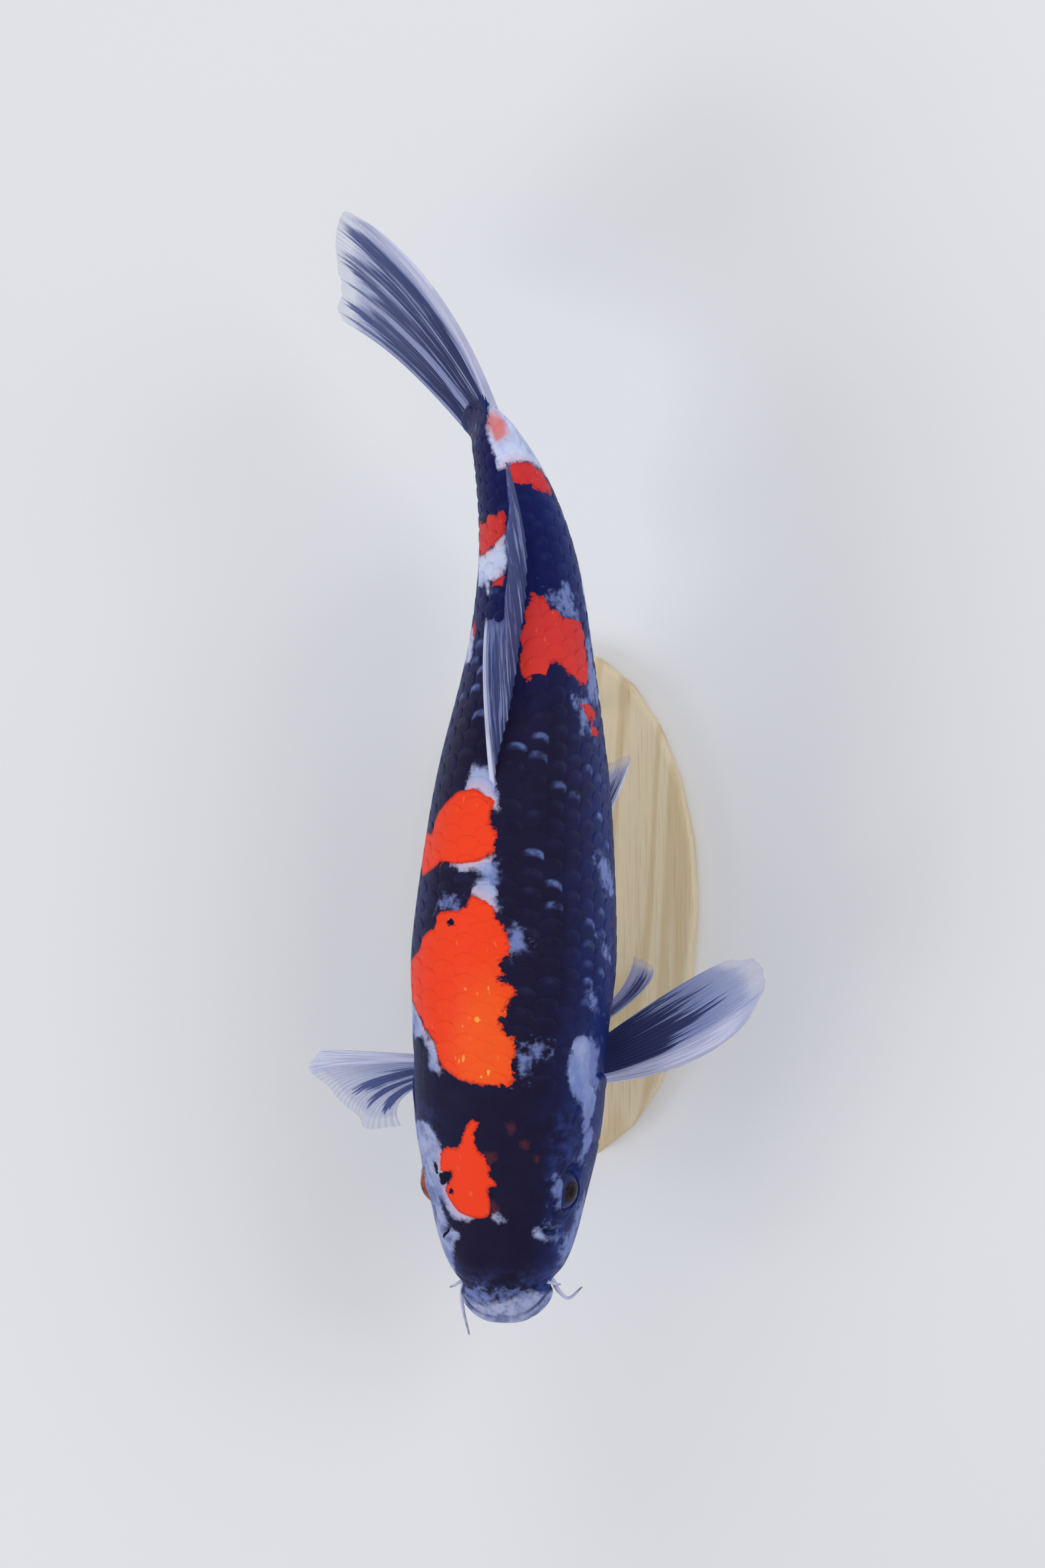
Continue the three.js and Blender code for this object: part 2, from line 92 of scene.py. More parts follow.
def smoothThrough(pairs):
    x = np.array([p[0] for p in pairs], float)
    y = np.array([p[1] for p in pairs], float)
    before = np.maximum(np.arange(len(x)) - 1, 0)
    after = np.minimum(np.arange(len(x)) + 1, len(x) - 1)
    slope = (y[after] - y[before]) / (x[after] - x[before])

    def at(v):
        v = np.clip(v, x[0], x[-1])
        i = np.clip(np.searchsorted(x, v) - 1, 0, len(x) - 2)
        gap = x[i + 1] - x[i]
        u = (v - x[i]) / gap
        rest = 1 - u
        return (y[i] * (1 + 2 * u) * rest * rest + y[i + 1] * (3 - 2 * u) * u * u
                + gap * u * rest * (slope[i] * rest - slope[i + 1] * u))
    return at


def softStep(low, high, value):
    u = np.clip((np.asarray(value, float) - low) / (high - low), 0, 1)
    return u * u * (3 - 2 * u)


def swell(distance, width):  # 1 on a line, and near 0 from about twice the width away
    return np.exp(-(distance / width) ** 2)


turnAt, rollAt = smoothThrough(fish["turn"]), smoothThrough(fish["roll"])
sectionAt = [smoothThrough([(i, row[k]) for i, row in enumerate(fish["sections"])]) for k in range(7)]
# the backbone is walked in short steps, to a little past the tail
walkStep, walkEnd = 0.5, 480
walkS = np.arange(0, walkEnd, walkStep)
walkTurn = np.radians(turnAt(walkS + walkStep / 2))
walkX, walkY = (np.append(0, np.cumsum(way(walkTurn) * walkStep))[:-1] for way in (np.sin, np.cos))


def frameAt(s):  # origin on the backbone, and the directions to the tail, the left and the back
    s = np.asarray(s, float)
    heading, roll = np.radians(turnAt(s)), np.radians(rollAt(s))
    before = np.minimum(s, 0)
    x = fish["snout"][0] + np.interp(s, walkS, walkX) + before * np.sin(heading)
    y = fish["snout"][1] + np.interp(s, walkS, walkY) + before * np.cos(heading)
    origin = np.stack([x, y, fish["axisHeight"] + 0 * x], -1)
    tail = np.stack([np.sin(heading), np.cos(heading), 0 * heading], -1)
    level = np.stack([np.cos(heading), -np.sin(heading), 0 * heading], -1)
    upright = np.cross(level, tail)
    c, n = np.cos(roll)[..., None], np.sin(roll)[..., None]
    return origin, tail, level * c + upright * n, upright * c - level * n


def bodyPoint(t, theta, grow=0.0):  # t counts the sections, theta goes round from the left over the back
    s, half, top, bottom, girdle, back, full = [f(t) for f in sectionAt]
    side = np.sign(np.cos(theta)) * np.abs(np.cos(theta)) ** full
    rise = np.sign(np.sin(theta)) * np.abs(np.sin(theta)) ** full
    reach = np.where(rise > 0, top - girdle, girdle - bottom)
    origin, tail, left, up = frameAt(s)
    return (origin + tail * (back * np.abs(side) ** 3)[..., None] + left * ((half + grow) * side)[..., None]
            + up * (girdle + (reach + grow) * rise)[..., None])


# tables that turn places along the body and arcs round it into sections and angles
ringCount, arcCount = 600, 241
tableT = np.linspace(2, len(fish["sections"]) - 1, ringCount)
tableS = sectionAt[0](tableT)
tableAngle = np.linspace(0, np.pi, arcCount)
tableP = bodyPoint(tableT[:, None] + 0 * tableAngle[None], np.pi / 2 - tableAngle[None] + 0 * tableT[:, None])
tableArc = np.concatenate(
    [np.zeros((ringCount, 1)), np.cumsum(np.linalg.norm(np.diff(tableP, axis=1), axis=2), axis=1)], 1)
halfGirth = tableArc[:, -1]


def ringOf(s):
    return np.interp(s, tableS, tableT)


def girthAt(s):  # from the ridge of the back round to the belly
    return np.interp(s, tableS, halfGirth)


def thetaOf(s, w):  # the angle for an arc w from the ridge of the back, left positive
    s, w = np.broadcast_arrays(np.asarray(s, float), np.asarray(w, float))
    row = np.interp(s, tableS, np.arange(ringCount)).ravel()
    low = np.clip(row.astype(int), 0, ringCount - 2)
    part = row - low
    out = [np.interp(x, tableArc[a] * (1 - f) + tableArc[a + 1] * f, tableAngle)
           for a, f, x in zip(low, part, np.abs(w).ravel())]
    return np.pi / 2 - np.sign(w) * np.array(out).reshape(s.shape)


def surface(s, angleDegrees, grow=0.0):
    return bodyPoint(ringOf(s), np.radians(angleDegrees), grow)


# meshes and nodes
def makePiece(name, points, faces, material, fields=None, corners=None, nodes=()):
    mesh = bpy.data.meshes.new(name)
    mesh.from_pydata((np.asarray(points) * mm).tolist(), [], [list(map(int, f)) for f in faces])
    mesh.validate()
    for key, values in (fields or {}).items():
        layer = mesh.attributes.new(key, "FLOAT", "POINT")
        layer.data.foreach_set("value", np.asarray(values, np.float32).ravel())
    if corners is not None:
        layer = mesh.uv_layers.new(name="OFBake")
        layer.data.foreach_set("uv", np.asarray(corners, np.float32).ravel())
    mesh.polygons.foreach_set("use_smooth", [True] * len(mesh.polygons))
    mesh.materials.append(material)
    piece = bpy.data.objects.new(name, mesh)
    bpy.context.scene.collection.objects.link(piece)
    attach(piece, "root")
    if nodes:
        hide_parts(*nodes)
    return piece


def gridFaces(rows, columns, closed=False):  # a grid's quads, row by row, and the row and column of each
    i, j = np.meshgrid(np.arange(rows - 1), np.arange(columns if closed else columns - 1), indexing="ij")
    k = (j + 1) % columns
    quads = np.stack([i * columns + j, i * columns + k, (i + 1) * columns + k, (i + 1) * columns + j], -1)
    return quads.reshape(-1, 4), i.ravel(), j.ravel()


def hexColour(code):  # sRGB hex to the linear colour that a node takes
    parts = [int(code[k:k + 2], 16) / 255 for k in (1, 3, 5)]
    return [p / 12.92 if p <= 0.04045 else ((p + 0.055) / 1.055) ** 2.4 for p in parts] + [1]


def addNode(tree, kind, inputs=None, out=0, **settings):  # adds a node and gives one of its outputs
    node = tree.nodes.new("ShaderNode" + kind)
    for key, value in settings.items():
        setattr(node, key, value)
    for key, value in (inputs or {}).items():
        if isinstance(value, bpy.types.NodeSocket):
            tree.links.new(value, node.inputs[key])
        else:
            node.inputs[key].default_value = hexColour(value) if isinstance(value, str) else value
    return node.outputs[out] if node.outputs else node


def newMaterial(name):
    material = bpy.data.materials.new(name)
    material.use_nodes = True
    material.node_tree.nodes.clear()
    return material, material.node_tree


def finishMaterial(tree, inputs):
    addNode(tree, "OutputMaterial", {"Surface": addNode(tree, "BsdfPrincipled", inputs)})


def weigh(tree, known, weights, ends=None, *factors):
    # patterns added up, each times its weight, then a soft step from 0 to 1 between the ends, then factors
    value = weights.get("start", 0)
    for name, weight in weights.items():
        if name != "start":
            parts = {0: known[name], 1: known.get(weight, weight), 2: value}
            value = addNode(tree, "Math", parts, operation="MULTIPLY_ADD")
    if ends:
        step = {0: value, 1: ends[0], 2: ends[1]}
        value = addNode(tree, "MapRange", step, interpolation_type="SMOOTHSTEP")
    for factor in factors:
        value = addNode(tree, "Math", {0: value, 1: known.get(factor, factor)}, operation="MULTIPLY")
    return value


def addPatterns(tree, look, **known):  # the values a mesh carries, noises, and what is weighed from them
    for name in look.get("fields", ()):
        known[name] = addNode(tree, "Attribute", out="Fac", attribute_name=name + "Field")
    # a noise's size is in millimetres, before its squeeze, and its value runs about 0.2 to 0.8
    for name, (size, detail, offset, squeeze) in look.get("noises", {}).items():
        place = addNode(tree, "TexCoord", out="Object")
        place = addNode(tree, "Mapping", {"Vector": place, "Location": offset, "Scale": squeeze})
        known[name] = addNode(tree, "TexNoise", {
            "Vector": place, "Scale": 1000 / size, "Detail": detail, "Roughness": 0.55}, "Fac")
    for name, row in look.get("patterns", {}).items():
        known[name] = weigh(tree, known, *row)
    return known


def layCoats(tree, known, layers):  # each layer is a ground colour, and coats of colour with where they lie
    for name, (base, *coats) in layers.items():
        base = known.get(base, base)
        for colour, *where in coats:
            parts = {0: weigh(tree, known, *where), 6: base, 7: known.get(colour, colour)}
            base = addNode(tree, "Mix", parts, 2, data_type="RGBA")
        known[name] = base
    return base


# markings, as outlines on the unrolled skin
# Each point is millimetres along the backbone, and round from the line of the drift, left positive.
markings = {
    # how far corners are cut back on head and body, where the head ends, and how far off an edge still counts
    "headCorners": (0.2, 0.27), "bodyCorners": (0.1,), "headEnd": 96, "counts": 14,
    "red": [
        [(48, -5), (49, 1), (55, 2), (62, 1), (64, 6), (67, 2), (71, 3), (76, 1), (78, -1), (80, -3),
         (86, -4), (90, 0), (92, -5), (88, -7), (84, -9), (79, -11), (78, -19), (74, -21), (67, -22),
         (68, -14), (63, -17), (60, -20), (56, -18), (50, -13)],
        [(107, 12), (106, 0), (108, -10), (113, -19), (122, -23), (130, -33), (138, -46), (139, -60),
         (146, -66), (154, -58), (160, -41), (167, -36), (170, -30), (178, -26), (180, -14), (187, -9),
         (184, -2), (172, 6), (162, 9), (159, 4), (155, 7), (152, 4), (149, 13), (146, 14), (142, 9),
         (140, 6), (138, 12), (135, 6), (129, 9), (128, 14), (124, 15), (116, 12), (112, 15)],
        [(200, -9), (204, -2), (211, -1), (218, -5), (226, -4), (231, -12), (229, -21), (222, -33),
         (215, -38), (210, -41), (211, -58), (204, -68), (196, -62), (192, -45), (197, -32), (200, -28),
         (198, -22)],
        [(280, 2), (277, 7), (280, 9), (280, 14), (286, 15), (286, 19), (278, 31), (276, 41), (283, 44),
         (290, 43), (295, 39), (298, 41), (304, 36), (305, 24), (308, 16), (315, 11), (315, 7), (306, 3),
         (297, 1)],
        [(254, 57), (258, 57), (260, 47), (257, 46)], [(261, 52), (266, 53), (269, 35), (262, 43)],
        [(342, 0), (353, 1), (351, -4), (353, -9), (352, -17), (350, -25), (336, -26), (336, -15),
         (338, -9)],
        [(319, -7), (324, -3), (323, -8), (320, -14)], [(297, -28), (304, -28), (306, -33), (298, -33)],
        [(356, 32), (357, 20), (360, 17), (362, 10), (370, 9), (371, 13), (369, 21), (363, 31)],
        [(196, -27), (198, -27), (198, -29), (196, -29)],
    ],
    "white": [
        [(18, -22), (30, -20), (36, -18), (41, -13), (42.5, -19.5), (49, -22), (57, -24), (55, -21),
         (48, -18), (46.5, -10), (50, -5), (55, -15), (62, -19), (72, -19), (77, -20), (84, -23),
         (89, -31), (86, -48), (70, -52), (40, -46), (20, -36)],
        [(47, 4), (50, 3), (51, 6), (48, 7)], [(37, 26), (45, 23), (44, 20), (41, 19)],
        [(-3, -32), (-3, 32), (5, 28), (8, 20), (13, 16), (12, 8), (10, 0), (9, -8), (8, -16), (6, -23),
         (1, -28)],
        [(93, 60), (94, 50), (99, 49), (103, 43), (113, 38), (126, 42), (129, 50), (126, 57), (121, 58),
         (115, 56), (109, 57), (104, 60), (101, 64)],
        [(110, -18), (113, -20), (122, -24), (128, -33), (136, -43), (138, -60), (128, -56), (123, -42),
         (125, -33), (118, -27), (111, -27)],
        [(179, 2), (190, 0), (194, -3), (192, -8), (187, -10), (183, -3)],
        [(195, -3), (204, -1), (201, -9), (198, -23), (196, -16), (197, -10)],
        [(222, -2), (230, -2), (238, -5), (240, -11), (238, -16), (229, -19), (230, -12)],
        [(324, -4), (320, -29), (336, -30), (336, -11), (343, 0)], [(316, -16), (323, -14), (322, -19)],
        [(285, -30), (301, -30), (301, -42), (285, -44)],
        [(370, 6), (371, 15), (365, 35), (380, 38), (392, 33), (396, 26), (391, 14), (385, 9)],
    ],
    "cloud": [
        [(107, 13), (110, 19), (118, 22), (121, 31), (128, 29), (128, 15), (116, 13)],
        [(161, 8), (164, 12), (165, 19), (173, 13), (175, 6), (168, 5)],
        [(180, -14), (187, -18), (185, -23), (176, -30), (178, -22)],
        [(100, 62), (104, 54), (110, 47), (118, 47), (128, 56), (126, 66), (104, 70)],
        [(72, 44), (78, 48), (92, 49), (92, 60), (80, 62), (72, 54)],
        [(50, 29), (68, 30), (68, 38), (52, 37)],
        [(2, -28), (6, -24), (9, -12), (8, 14), (15, 18), (17, 2), (17, -16), (12, -26)],
        [(18, 34), (34, 33), (44, 42), (60, 56), (58, 66), (30, 52)],
        [(66, -18), (76, -19), (78, -26), (68, -28)],
        [(72, 54), (81, 48), (91, 48), (98, 50), (98, 61), (80, 58)],
        [(206, 50), (205, 67), (191, 83), (184, 78), (193, 59)],
        [(173, 54), (169, 65), (157, 78), (160, 62)], [(150, 49), (147, 57), (139, 61), (143, 51)],
        [(199, -5), (199, 0), (180, 3), (178, -2), (188, -6)], [(47, 23), (46, 32), (39, 32), (39, 25)],
        [(303, 38), (311, 32), (317, 26), (317, 10), (311, 12), (304, 22)],
        [(267, 62), (269, 44), (275, 38), (282, 43), (296, 40), (300, 44), (290, 54), (279, 62)],
        [(255, 47), (257, 37), (263, 34), (271, 30), (272, 38), (262, 47)],
    ],
    "sumi": [
        [(67, -23), (68, -15), (64, -17), (61, -22)], [(58, -17.5), (60.5, -17.5), (60.5, -15), (58, -15)],
        [(72, -26), (71, -23.5), (66, -23), (66, -25)], [(114, 13), (116, 13), (116, 16), (114, 16)],
        [(172, -21), (176, -20), (176, -17), (173, -17)], [(181, -13), (184, -13), (184, -11), (181, -11)],
        [(350, -20), (353, -15), (353, -10), (350, -12)], [(38, -26), (44, -20), (43, -18), (37, -24)],
    ],
    "ember": [[(381, 12), (389, 11), (392, 15), (388, 20), (382, 18)]],  # red that has faded into the white
    "rust": [  # red that barely shows through the black
        [(92, 10), (91, 14), (87, 14), (86, 11)], [(84, 16), (84, 20), (80, 20), (80, 16)],
        [(78, 22), (77, 25), (74, 24), (74, 22)], [(78, 0), (78, 6), (74, 6), (72, 1)],
        [(57, 1), (56, 5), (50, 6), (49, 2)],
    ],
    # pale single scales on the black
    "paleScales": [(147, 53), (136, 45), (165, 62), (172, 56), (186, 23), (196, 16), (178, 31), (175, 23),
                   (202, 60), (218, 55), (229, 53), (237, 43), (222, 34), (229, 19), (236, 14), (244, 13),
                   (240, 3), (246, 49), (200, 70), (190, 72), (150, 60), (157, 48), (168, 50), (257, -15),
                   (264, -18), (266, -28), (272, -20), (276, -20), (283, -18), (280, -26), (291, -22)],
}


drift = {
    # how far round from the ridge that line lies, and how far along the markings sit ahead of their places
    "round": [(110, 0), (150, 2), (180, 4), (215, 5), (240, 4), (270, 0), (297, -3.5), (327, -8),
               (357, -11.5), (380, -16), (402, -23)],
    "ahead": [(270, 0), (297, 1.8), (330, 2.4), (375, 2.4), (395, 0)],
    # the unseen underside is white, and the black comes down over it in broad wraps, this far from the ridge
    "belly": [(0, 30), (12, 34), (20, 46), (50, 68), (90, 86), (125, 96), (150, 108), (175, 92),
               (205, 104), (240, 82), (270, 70), (300, 52), (330, 50), (360, 38), (385, 33), (404, 36)],
}
driftRound, driftAhead, bellyEdge = (smoothThrough(drift[key]) for key in ("round", "ahead", "belly"))


def insideDistance(outline, s, w):  # millimetres inside an outline, negative outside
    p, counts = np.array(outline, float), markings["counts"]
    for share in markings["headCorners" if p[:, 0].max() < markings["headEnd"] else "bodyCorners"]:
        sides = [p + share * (np.roll(p, way, axis=0) - p) for way in (1, -1)]
        p = np.stack(sides, 1).reshape(-1, 2)
    q = np.roll(p, -1, axis=0)
    out = np.full(s.shape, -float(counts))
    near = ((s > p[:, 0].min() - counts) & (s < p[:, 0].max() + counts)
            & (w > p[:, 1].min() - counts) & (w < p[:, 1].max() + counts))
    x, y = s[near][:, None], w[near][:, None]
    edge = q - p
    along = np.clip(((x - p[:, 0]) * edge[:, 0] + (y - p[:, 1]) * edge[:, 1]) / (edge ** 2).sum(1), 0, 1)
    gap = np.hypot(x - p[:, 0] - along * edge[:, 0], y - p[:, 1] - along * edge[:, 1]).min(1)
    rises = (p[:, 1] > y) != (q[:, 1] > y)
    safe = np.where(edge[:, 1] == 0, 1e-9, edge[:, 1])
    crosses = rises & (x < p[:, 0] + (y - p[:, 1]) * edge[:, 0] / safe)
    inside = crosses.sum(1) % 2 == 1
    out[near] = np.maximum(np.where(inside, gap, -gap), -counts)
    return out


def markingFields(s, w):
    s, w = s + driftAhead(s), w - driftRound(s)
    fields = {kind: np.max([insideDistance(outline, s, w) for outline in markings[kind]], axis=0)
              for kind in ("red", "white", "cloud", "sumi", "rust", "ember")}
    under = np.abs(w) - bellyEdge(s) - 4 * np.sin(s / 9 + np.sign(w)) - 2 * np.sin(s / 3.7)
    fields["white"] = np.maximum(fields["white"], np.clip(under, -markings["counts"], markings["counts"]))
    # how far down the side it is, how orange and how dark the red, how frayed its edge, how blotched the
    # skin, which down the right side of the head is painted shade
    side = np.clip(np.abs(w) / np.maximum(girthAt(s), 1), 0, 1)
    warm = swell(s - 124, 30) * swell(w - 2, 17) * softStep(96, 110, s)
    deep = (softStep(170, 400, s) + 0.25 * softStep(250, 300, s)
            + 0.6 * softStep(0.36, 0.6, side) * softStep(200, 240, s))
    deep = np.clip(deep, 0, 1) + 0.5 * swell(s - 262, 9) * swell(w - 47, 12)
    ragged = np.where(s < markings["headEnd"], softStep(52, 66, s), 0.3 + 1.15 * softStep(-14, 8, w))
    # mottled snout and left cheek, and painted shade growing down the right side of the head
    mottle = (0.75 * softStep(30, 12, s) + 0.55 * softStep(24, 34, w) * softStep(104, 84, s)
              + 0.62 * softStep(-14, -30, w) * softStep(104, 80, s))
    fields.update(side=side, warm=np.clip(warm, 0, 1), deep=deep, ragged=ragged, mottle=np.clip(mottle, 0, 1))
    return {name + "Field": values for name, values in fields.items()}


skinLook = {
    "fields": ["side", "mottle", "deep", "crease", "red", "white", "cloud", "sumi", "rust", "ember", "ragged",
               "warm", "margin", "lie", "pale"],
    # each one's size in millimetres, detail, offset and squeeze
    "noises": {
        "coarse": (5, 6, (0, 0, 0), (1, 1, 1)), "fine": (1.5, 3, (0.4, 0.1, 0.7), (1, 1, 1)),
        "cloudy": (9, 6, (0.2, 0.6, 0.1), (1, 1, 1)), "wisps": (3.2, 5, (0.7, 0.3, 0.5), (1, 1, 1)),
        "flecks": (2.4, 1, (0.2, 0.2, 0.2), (1, 0.4, 1)), "grain": (0.9, 2, (0.3, 0.3, 0.9), (1, 1, 1)),
    },
    "patterns": {
        # how far an edge is shifted and frayed, in millimetres
        "shift": ({"start": -2.5, "coarse": 5},), "jitter": ({"start": -1.5, "fine": 3},),
        "lace": ({"shift": 0.75, "jitter": 0.8},),
        "redEdge": ({"red": 1, "lace": "ragged", "jitter": 0.12},),
        "whiteEdge": ({"white": 1, "shift": 1, "jitter": 1},),
        "glow": ({"warm": 1, "coarse": 0.3},), "blueLoss": ({"start": 0.8, "deep": -0.6},),
        "blotches": ({"cloudy": 0.6, "wisps": 0.4}, (0.42, 0.62), "mottle"),
        "stains": ({"cloudy": 0.5, "wisps": 0.5}, (0.42, 0.62), "mottle"),
        # a scale's own pattern: margin is millimetres in from its free edge, lie runs -1 to 1 across it
        "onScale": ({"margin": 1}, (-0.5, 0.1)), "inner": ({"margin": 1}, (4.4, 2.0)),
        "aside": ({"start": -0.2, "lie": 1, "side": -0.75},), "right": ({"aside": 1}, (-0.85, -0.3)),
        "left": ({"aside": 1}, (0.85, 0.3)),
        # each scale's pale crescent, as strong as the scale is pale: pale pigment on the black, a painted
        # highlight on the red
        "glint": ({"margin": 1}, (0.2, 1.4), "inner", "left", "right", "pale"),
        "wispy": ({"wisps": 1}, (0.38, 0.6)), "broken": ({"start": 0.45, "wispy": 0.55},),
    },
    # coats: colour, what it follows, from where to where, how strong, and what else holds it back
    "layers": {
        "blackSkin": [
            "#201c33", ("#231e38", {"cloudy": 1}, (0.35, 0.7)),
            ("#141c58", {"deep": 1}, (0.25, 1), 0.7),  # the tail
            ("#1a2b6c", {"side": 1, "cloudy": 0.2}, (0.24, 0.6)),  # painted blue light on the flanks
            ("#1a2250", {"side": 1}, (0.42, 0.68)),  # low on the sides
            ("#4c5fa6", {"blotches": 0.6}),  # slate on the head
            ("#8293d0", {"cloud": 1, "cloudy": 16, "wisps": 14}, (14, 20), 0.78),  # pale blue clouds
            ("#6c80c2", {"cloudy": 1}, (0.3, 0.6), "glint", "broken"),  # single pale scales
            ("#3c4a86", {"margin": 1}, (0.9, 0.1), "onScale", 0.04),  # painted sheen: a faint lighter rim along each scale's free edge
            ("#a04a30", {"rust": 1, "jitter": 1.3}, (-1, 1.4), 0.18)],
        "whiteSkin": [
            "#a9b3da", ("#d2dbfa", {"deep": 1}, (0.35, 1.0)),  # whiter at the tail
            ("#7086c6", {"cloudy": 1, "side": "blueLoss"}, (0.45, 1.0)),  # blue in the shade of the flanks
            ("#c9cfe4", {"side": 1}, (0.42, 0.68)),  # the belly
            ("#dfbccb", {"red": 1}, (-4.5, -0.5), 0.55),  # a blush round the red
            ("#e06450", {"ember": 1, "shift": 0.8}, (-2.5, 2), 0.8),
            # greyer white on the mottled head, which down its right side is painted shade, then dark stains
            ("#a8acd0", {"mottle": 0.6}), ("#48538a", {"stains": 0.85})],
        "redSkin": [
            "#fb4722", ("#dc3430", {"side": 1}, (0.12, 0.5)),
            ("#ff5e24", {"glow": 1}, (0.2, 1.0)),  # orange behind the head
            ("#be2f3f", {"deep": 1}, (0, 1), 0.62), ("#8a2438", {"deep": 1}, (1.0, 1.35)),  # towards the tail
            # painted highlights on the red: lighter orange on the scales' crescents, and small yellow glints
            # behind the head
            ("#ff8a3c", {"glint": 0.35}), ("#ffb24a", {"flecks": 1}, (0.69, 0.76), "glow"),
            ("#b02a1c", {"redEdge": 1}, (1.6, 0.1), 0.6)],  # the red's own rim
        "skin": [
            "blackSkin", ("whiteSkin", {"whiteEdge": 1}, (-1.4, 1.6)),
            ("redSkin", {"redEdge": 1}, (-0.3, 0.4)),
            ("#15142a", {"sumi": 1, "jitter": 0.9}, (-0.5, 0.3)),  # black spots
            # painted shade: dark slate in the folds of the lips, in the nostrils and round the eyes
            ("#1a2048", {"crease": 0.75})],
    },
}


def skinMaterial():
    # moist fish skin over guanine: soft satin, deep black with painted blue light on the flanks, glowing
    # orange-red
    material, tree = newMaterial("koiSkinMoist")
    known = addPatterns(tree, skinLook)
    finishMaterial(tree, {
        "Base Color": layCoats(tree, known, skinLook["layers"]),
        "IOR": 1.38, "Specular IOR Level": 0.14, "Specular Tint": "#7f95ff",
        "Roughness": addNode(tree, "MapRange", {0: known["fine"], 1: 0.3, 2: 0.7, 3: 0.4, 4: 0.54}),
        "Normal": addNode(tree, "Bump", {"Strength": 0.2, "Distance": 0.0002, "Height": known["grain"]}),
        "Subsurface Weight": 0.05, "Subsurface Radius": (0.6 * mm, 0.3 * mm, 0.2 * mm),
        "Subsurface Scale": 1.0})
    return material


koiSkin = skinMaterial()
print("skin material made")

# the skin: one closed surface from lips to tail
skin = {
    "around": 256, "headStep": 0.6, "bodyStep": 2.4, "headEnd": 118, "narrow": 0.72,
    # how deep it lies under the scales, and from where to where it sinks that far
    "coatDepth": 0.5, "coatFrom": (92, 116),
    # the tail's rounded end: how far behind the last ring, how tall and how broad for that ring; and where
    # the middles of mouth and tail tip lie along
    "end": [(1.6, 0.97, 0.75), (2.9, 0.9, 0.45), (3.7, 0.8, 0.18)], "caps": [6, 404],
    # the ball, and its opening: half its length on the left and the right, half its height, how far the lid
    # stands off, how deep the skin runs below it, and how far it blends out
    "eye": {"s": 61, "height": 7, "out": 24.2, "radius": 10.4, "long": (8.2, 9.0), "tall": 5.6, "lid": 0.35,
            "sunk": 1.6, "soft": 1.8},
    # round the opening: how high, or for the painted shade how dark, where in openings, and width
    "eyeRings": [(0.35, 1.13, 0.07), (-0.45, 1.36, 0.11)],
    "eyeShades": [(0.8, 1.02, 0.07), (0.35, 1.4, 0.12)],
    "nostrils": [(41, -22.5), (42, 26)], "nostrilTurn": 0.5, "nostrilRim": (0.5, 3.8, 1.0),
    # the hind opening, the front one and the flap between: height, how far ahead, half length, half width
    "nostrilForms": [(-2.4, 0, 1.4, 2.7), (-1.3, 4.4, 1.0, 1.6), (1.5, 2.4, 0.9, 2.6)],
    # painted shade in the nostrils: how dark, how far ahead, half length, half width
    "nostrilShades": [(0.95, 0, 1.2, 2.6), (0.5, 4.4, 0.9, 1.6)],
    # how far round the muzzle goes, the height of the mouth's corners, and the lips and the furrow below them
    "muzzle": 34, "mouth": -14, "lips": [(0.45, 6, 3.2), (0.3, 6, 3.2), (-0.8, 12.5, 1.4)],
    # lines across the head: where they cross the ridge, and how they bend away from it
    "lines": {"lip": (13.2, 0.004), "lipBack": (17.7, 0.004), "rim": (3.0, 0.0065), "nape": (97, -0.006)},
    # folds along those lines: depth, width, and where they fade out, round from the ridge
    "folds": {"lip": (1.0, 1.2, 34, 24), "lipBack": (0.4, 1.1, 30, 16), "rim": (0.8, 0.9, 34, 26)},
    # arched edges behind the eye: where their ends lie, their middle's height, half their height, their reach
    "gill": {"s": 86, "height": -6, "tall": 27, "reach": 24, "step": 1.5, "fade": 6},
    "cheek": {"s": 62, "height": -9, "tall": 25, "reach": 19},
}


def eyeFrame(side):  # where the ball sits, which way it looks, and the ways along and up its opening
    origin, tail, left, up = frameAt(skin["eye"]["s"])
    centre = origin + left * side * skin["eye"]["out"] + up * skin["eye"]["height"]
    axis = left * side * 0.9 + up * 0.4 - tail * (0.2 - 0.13 * side)
    axis /= np.linalg.norm(axis)
    along = tail - (tail @ axis) * axis
    along /= np.linalg.norm(along)
    return centre, axis, along, np.cross(axis, along)


def fromEye(points, side):  # how far out, along and up from the ball's middle, and the distance in openings
    centre, axis, along, rise = eyeFrame(side)
    out, a, b = ((points - centre) @ way for way in (axis, along, rise))
    return axis, out, a, b, np.hypot(a / skin["eye"]["long"][side < 0], b / skin["eye"]["tall"])


def settleEyes(points):  # draws the skin under each ball inside its opening, and up to a lid round it
    eye = skin["eye"]
    for side in (1, -1):
        axis, out, a, b, spread = fromEye(points, side)
        edge = np.maximum(spread, 1.04) / 1.04
        lid = np.sqrt(np.maximum((eye["radius"] + eye["lid"]) ** 2 - (a / edge) ** 2 - (b / edge) ** 2, 0.5))
        under = np.sqrt(np.maximum((eye["radius"] - eye["sunk"]) ** 2 - a ** 2 - b ** 2, 0.5))
        form = under + (lid - under) * softStep(0.93, 1.04, spread)
        form = form + sum(rise * swell(spread - place, width) for rise, place, width in skin["eyeRings"])
        share = np.where((out > -1) & (spread < eye["soft"]), softStep(eye["soft"], 1.1, spread), 0)
        points = points + axis * ((form - out) * share)[..., None]
    return points


def behindArch(arch, s, height):  # how far behind an arched edge, and how far up or down it from its middle
    rise = (height - arch["height"]) / arch["tall"]
    return s - arch["s"] - arch["reach"] * np.sqrt(np.clip(1 - rise ** 2, 0, 1)), np.abs(rise)


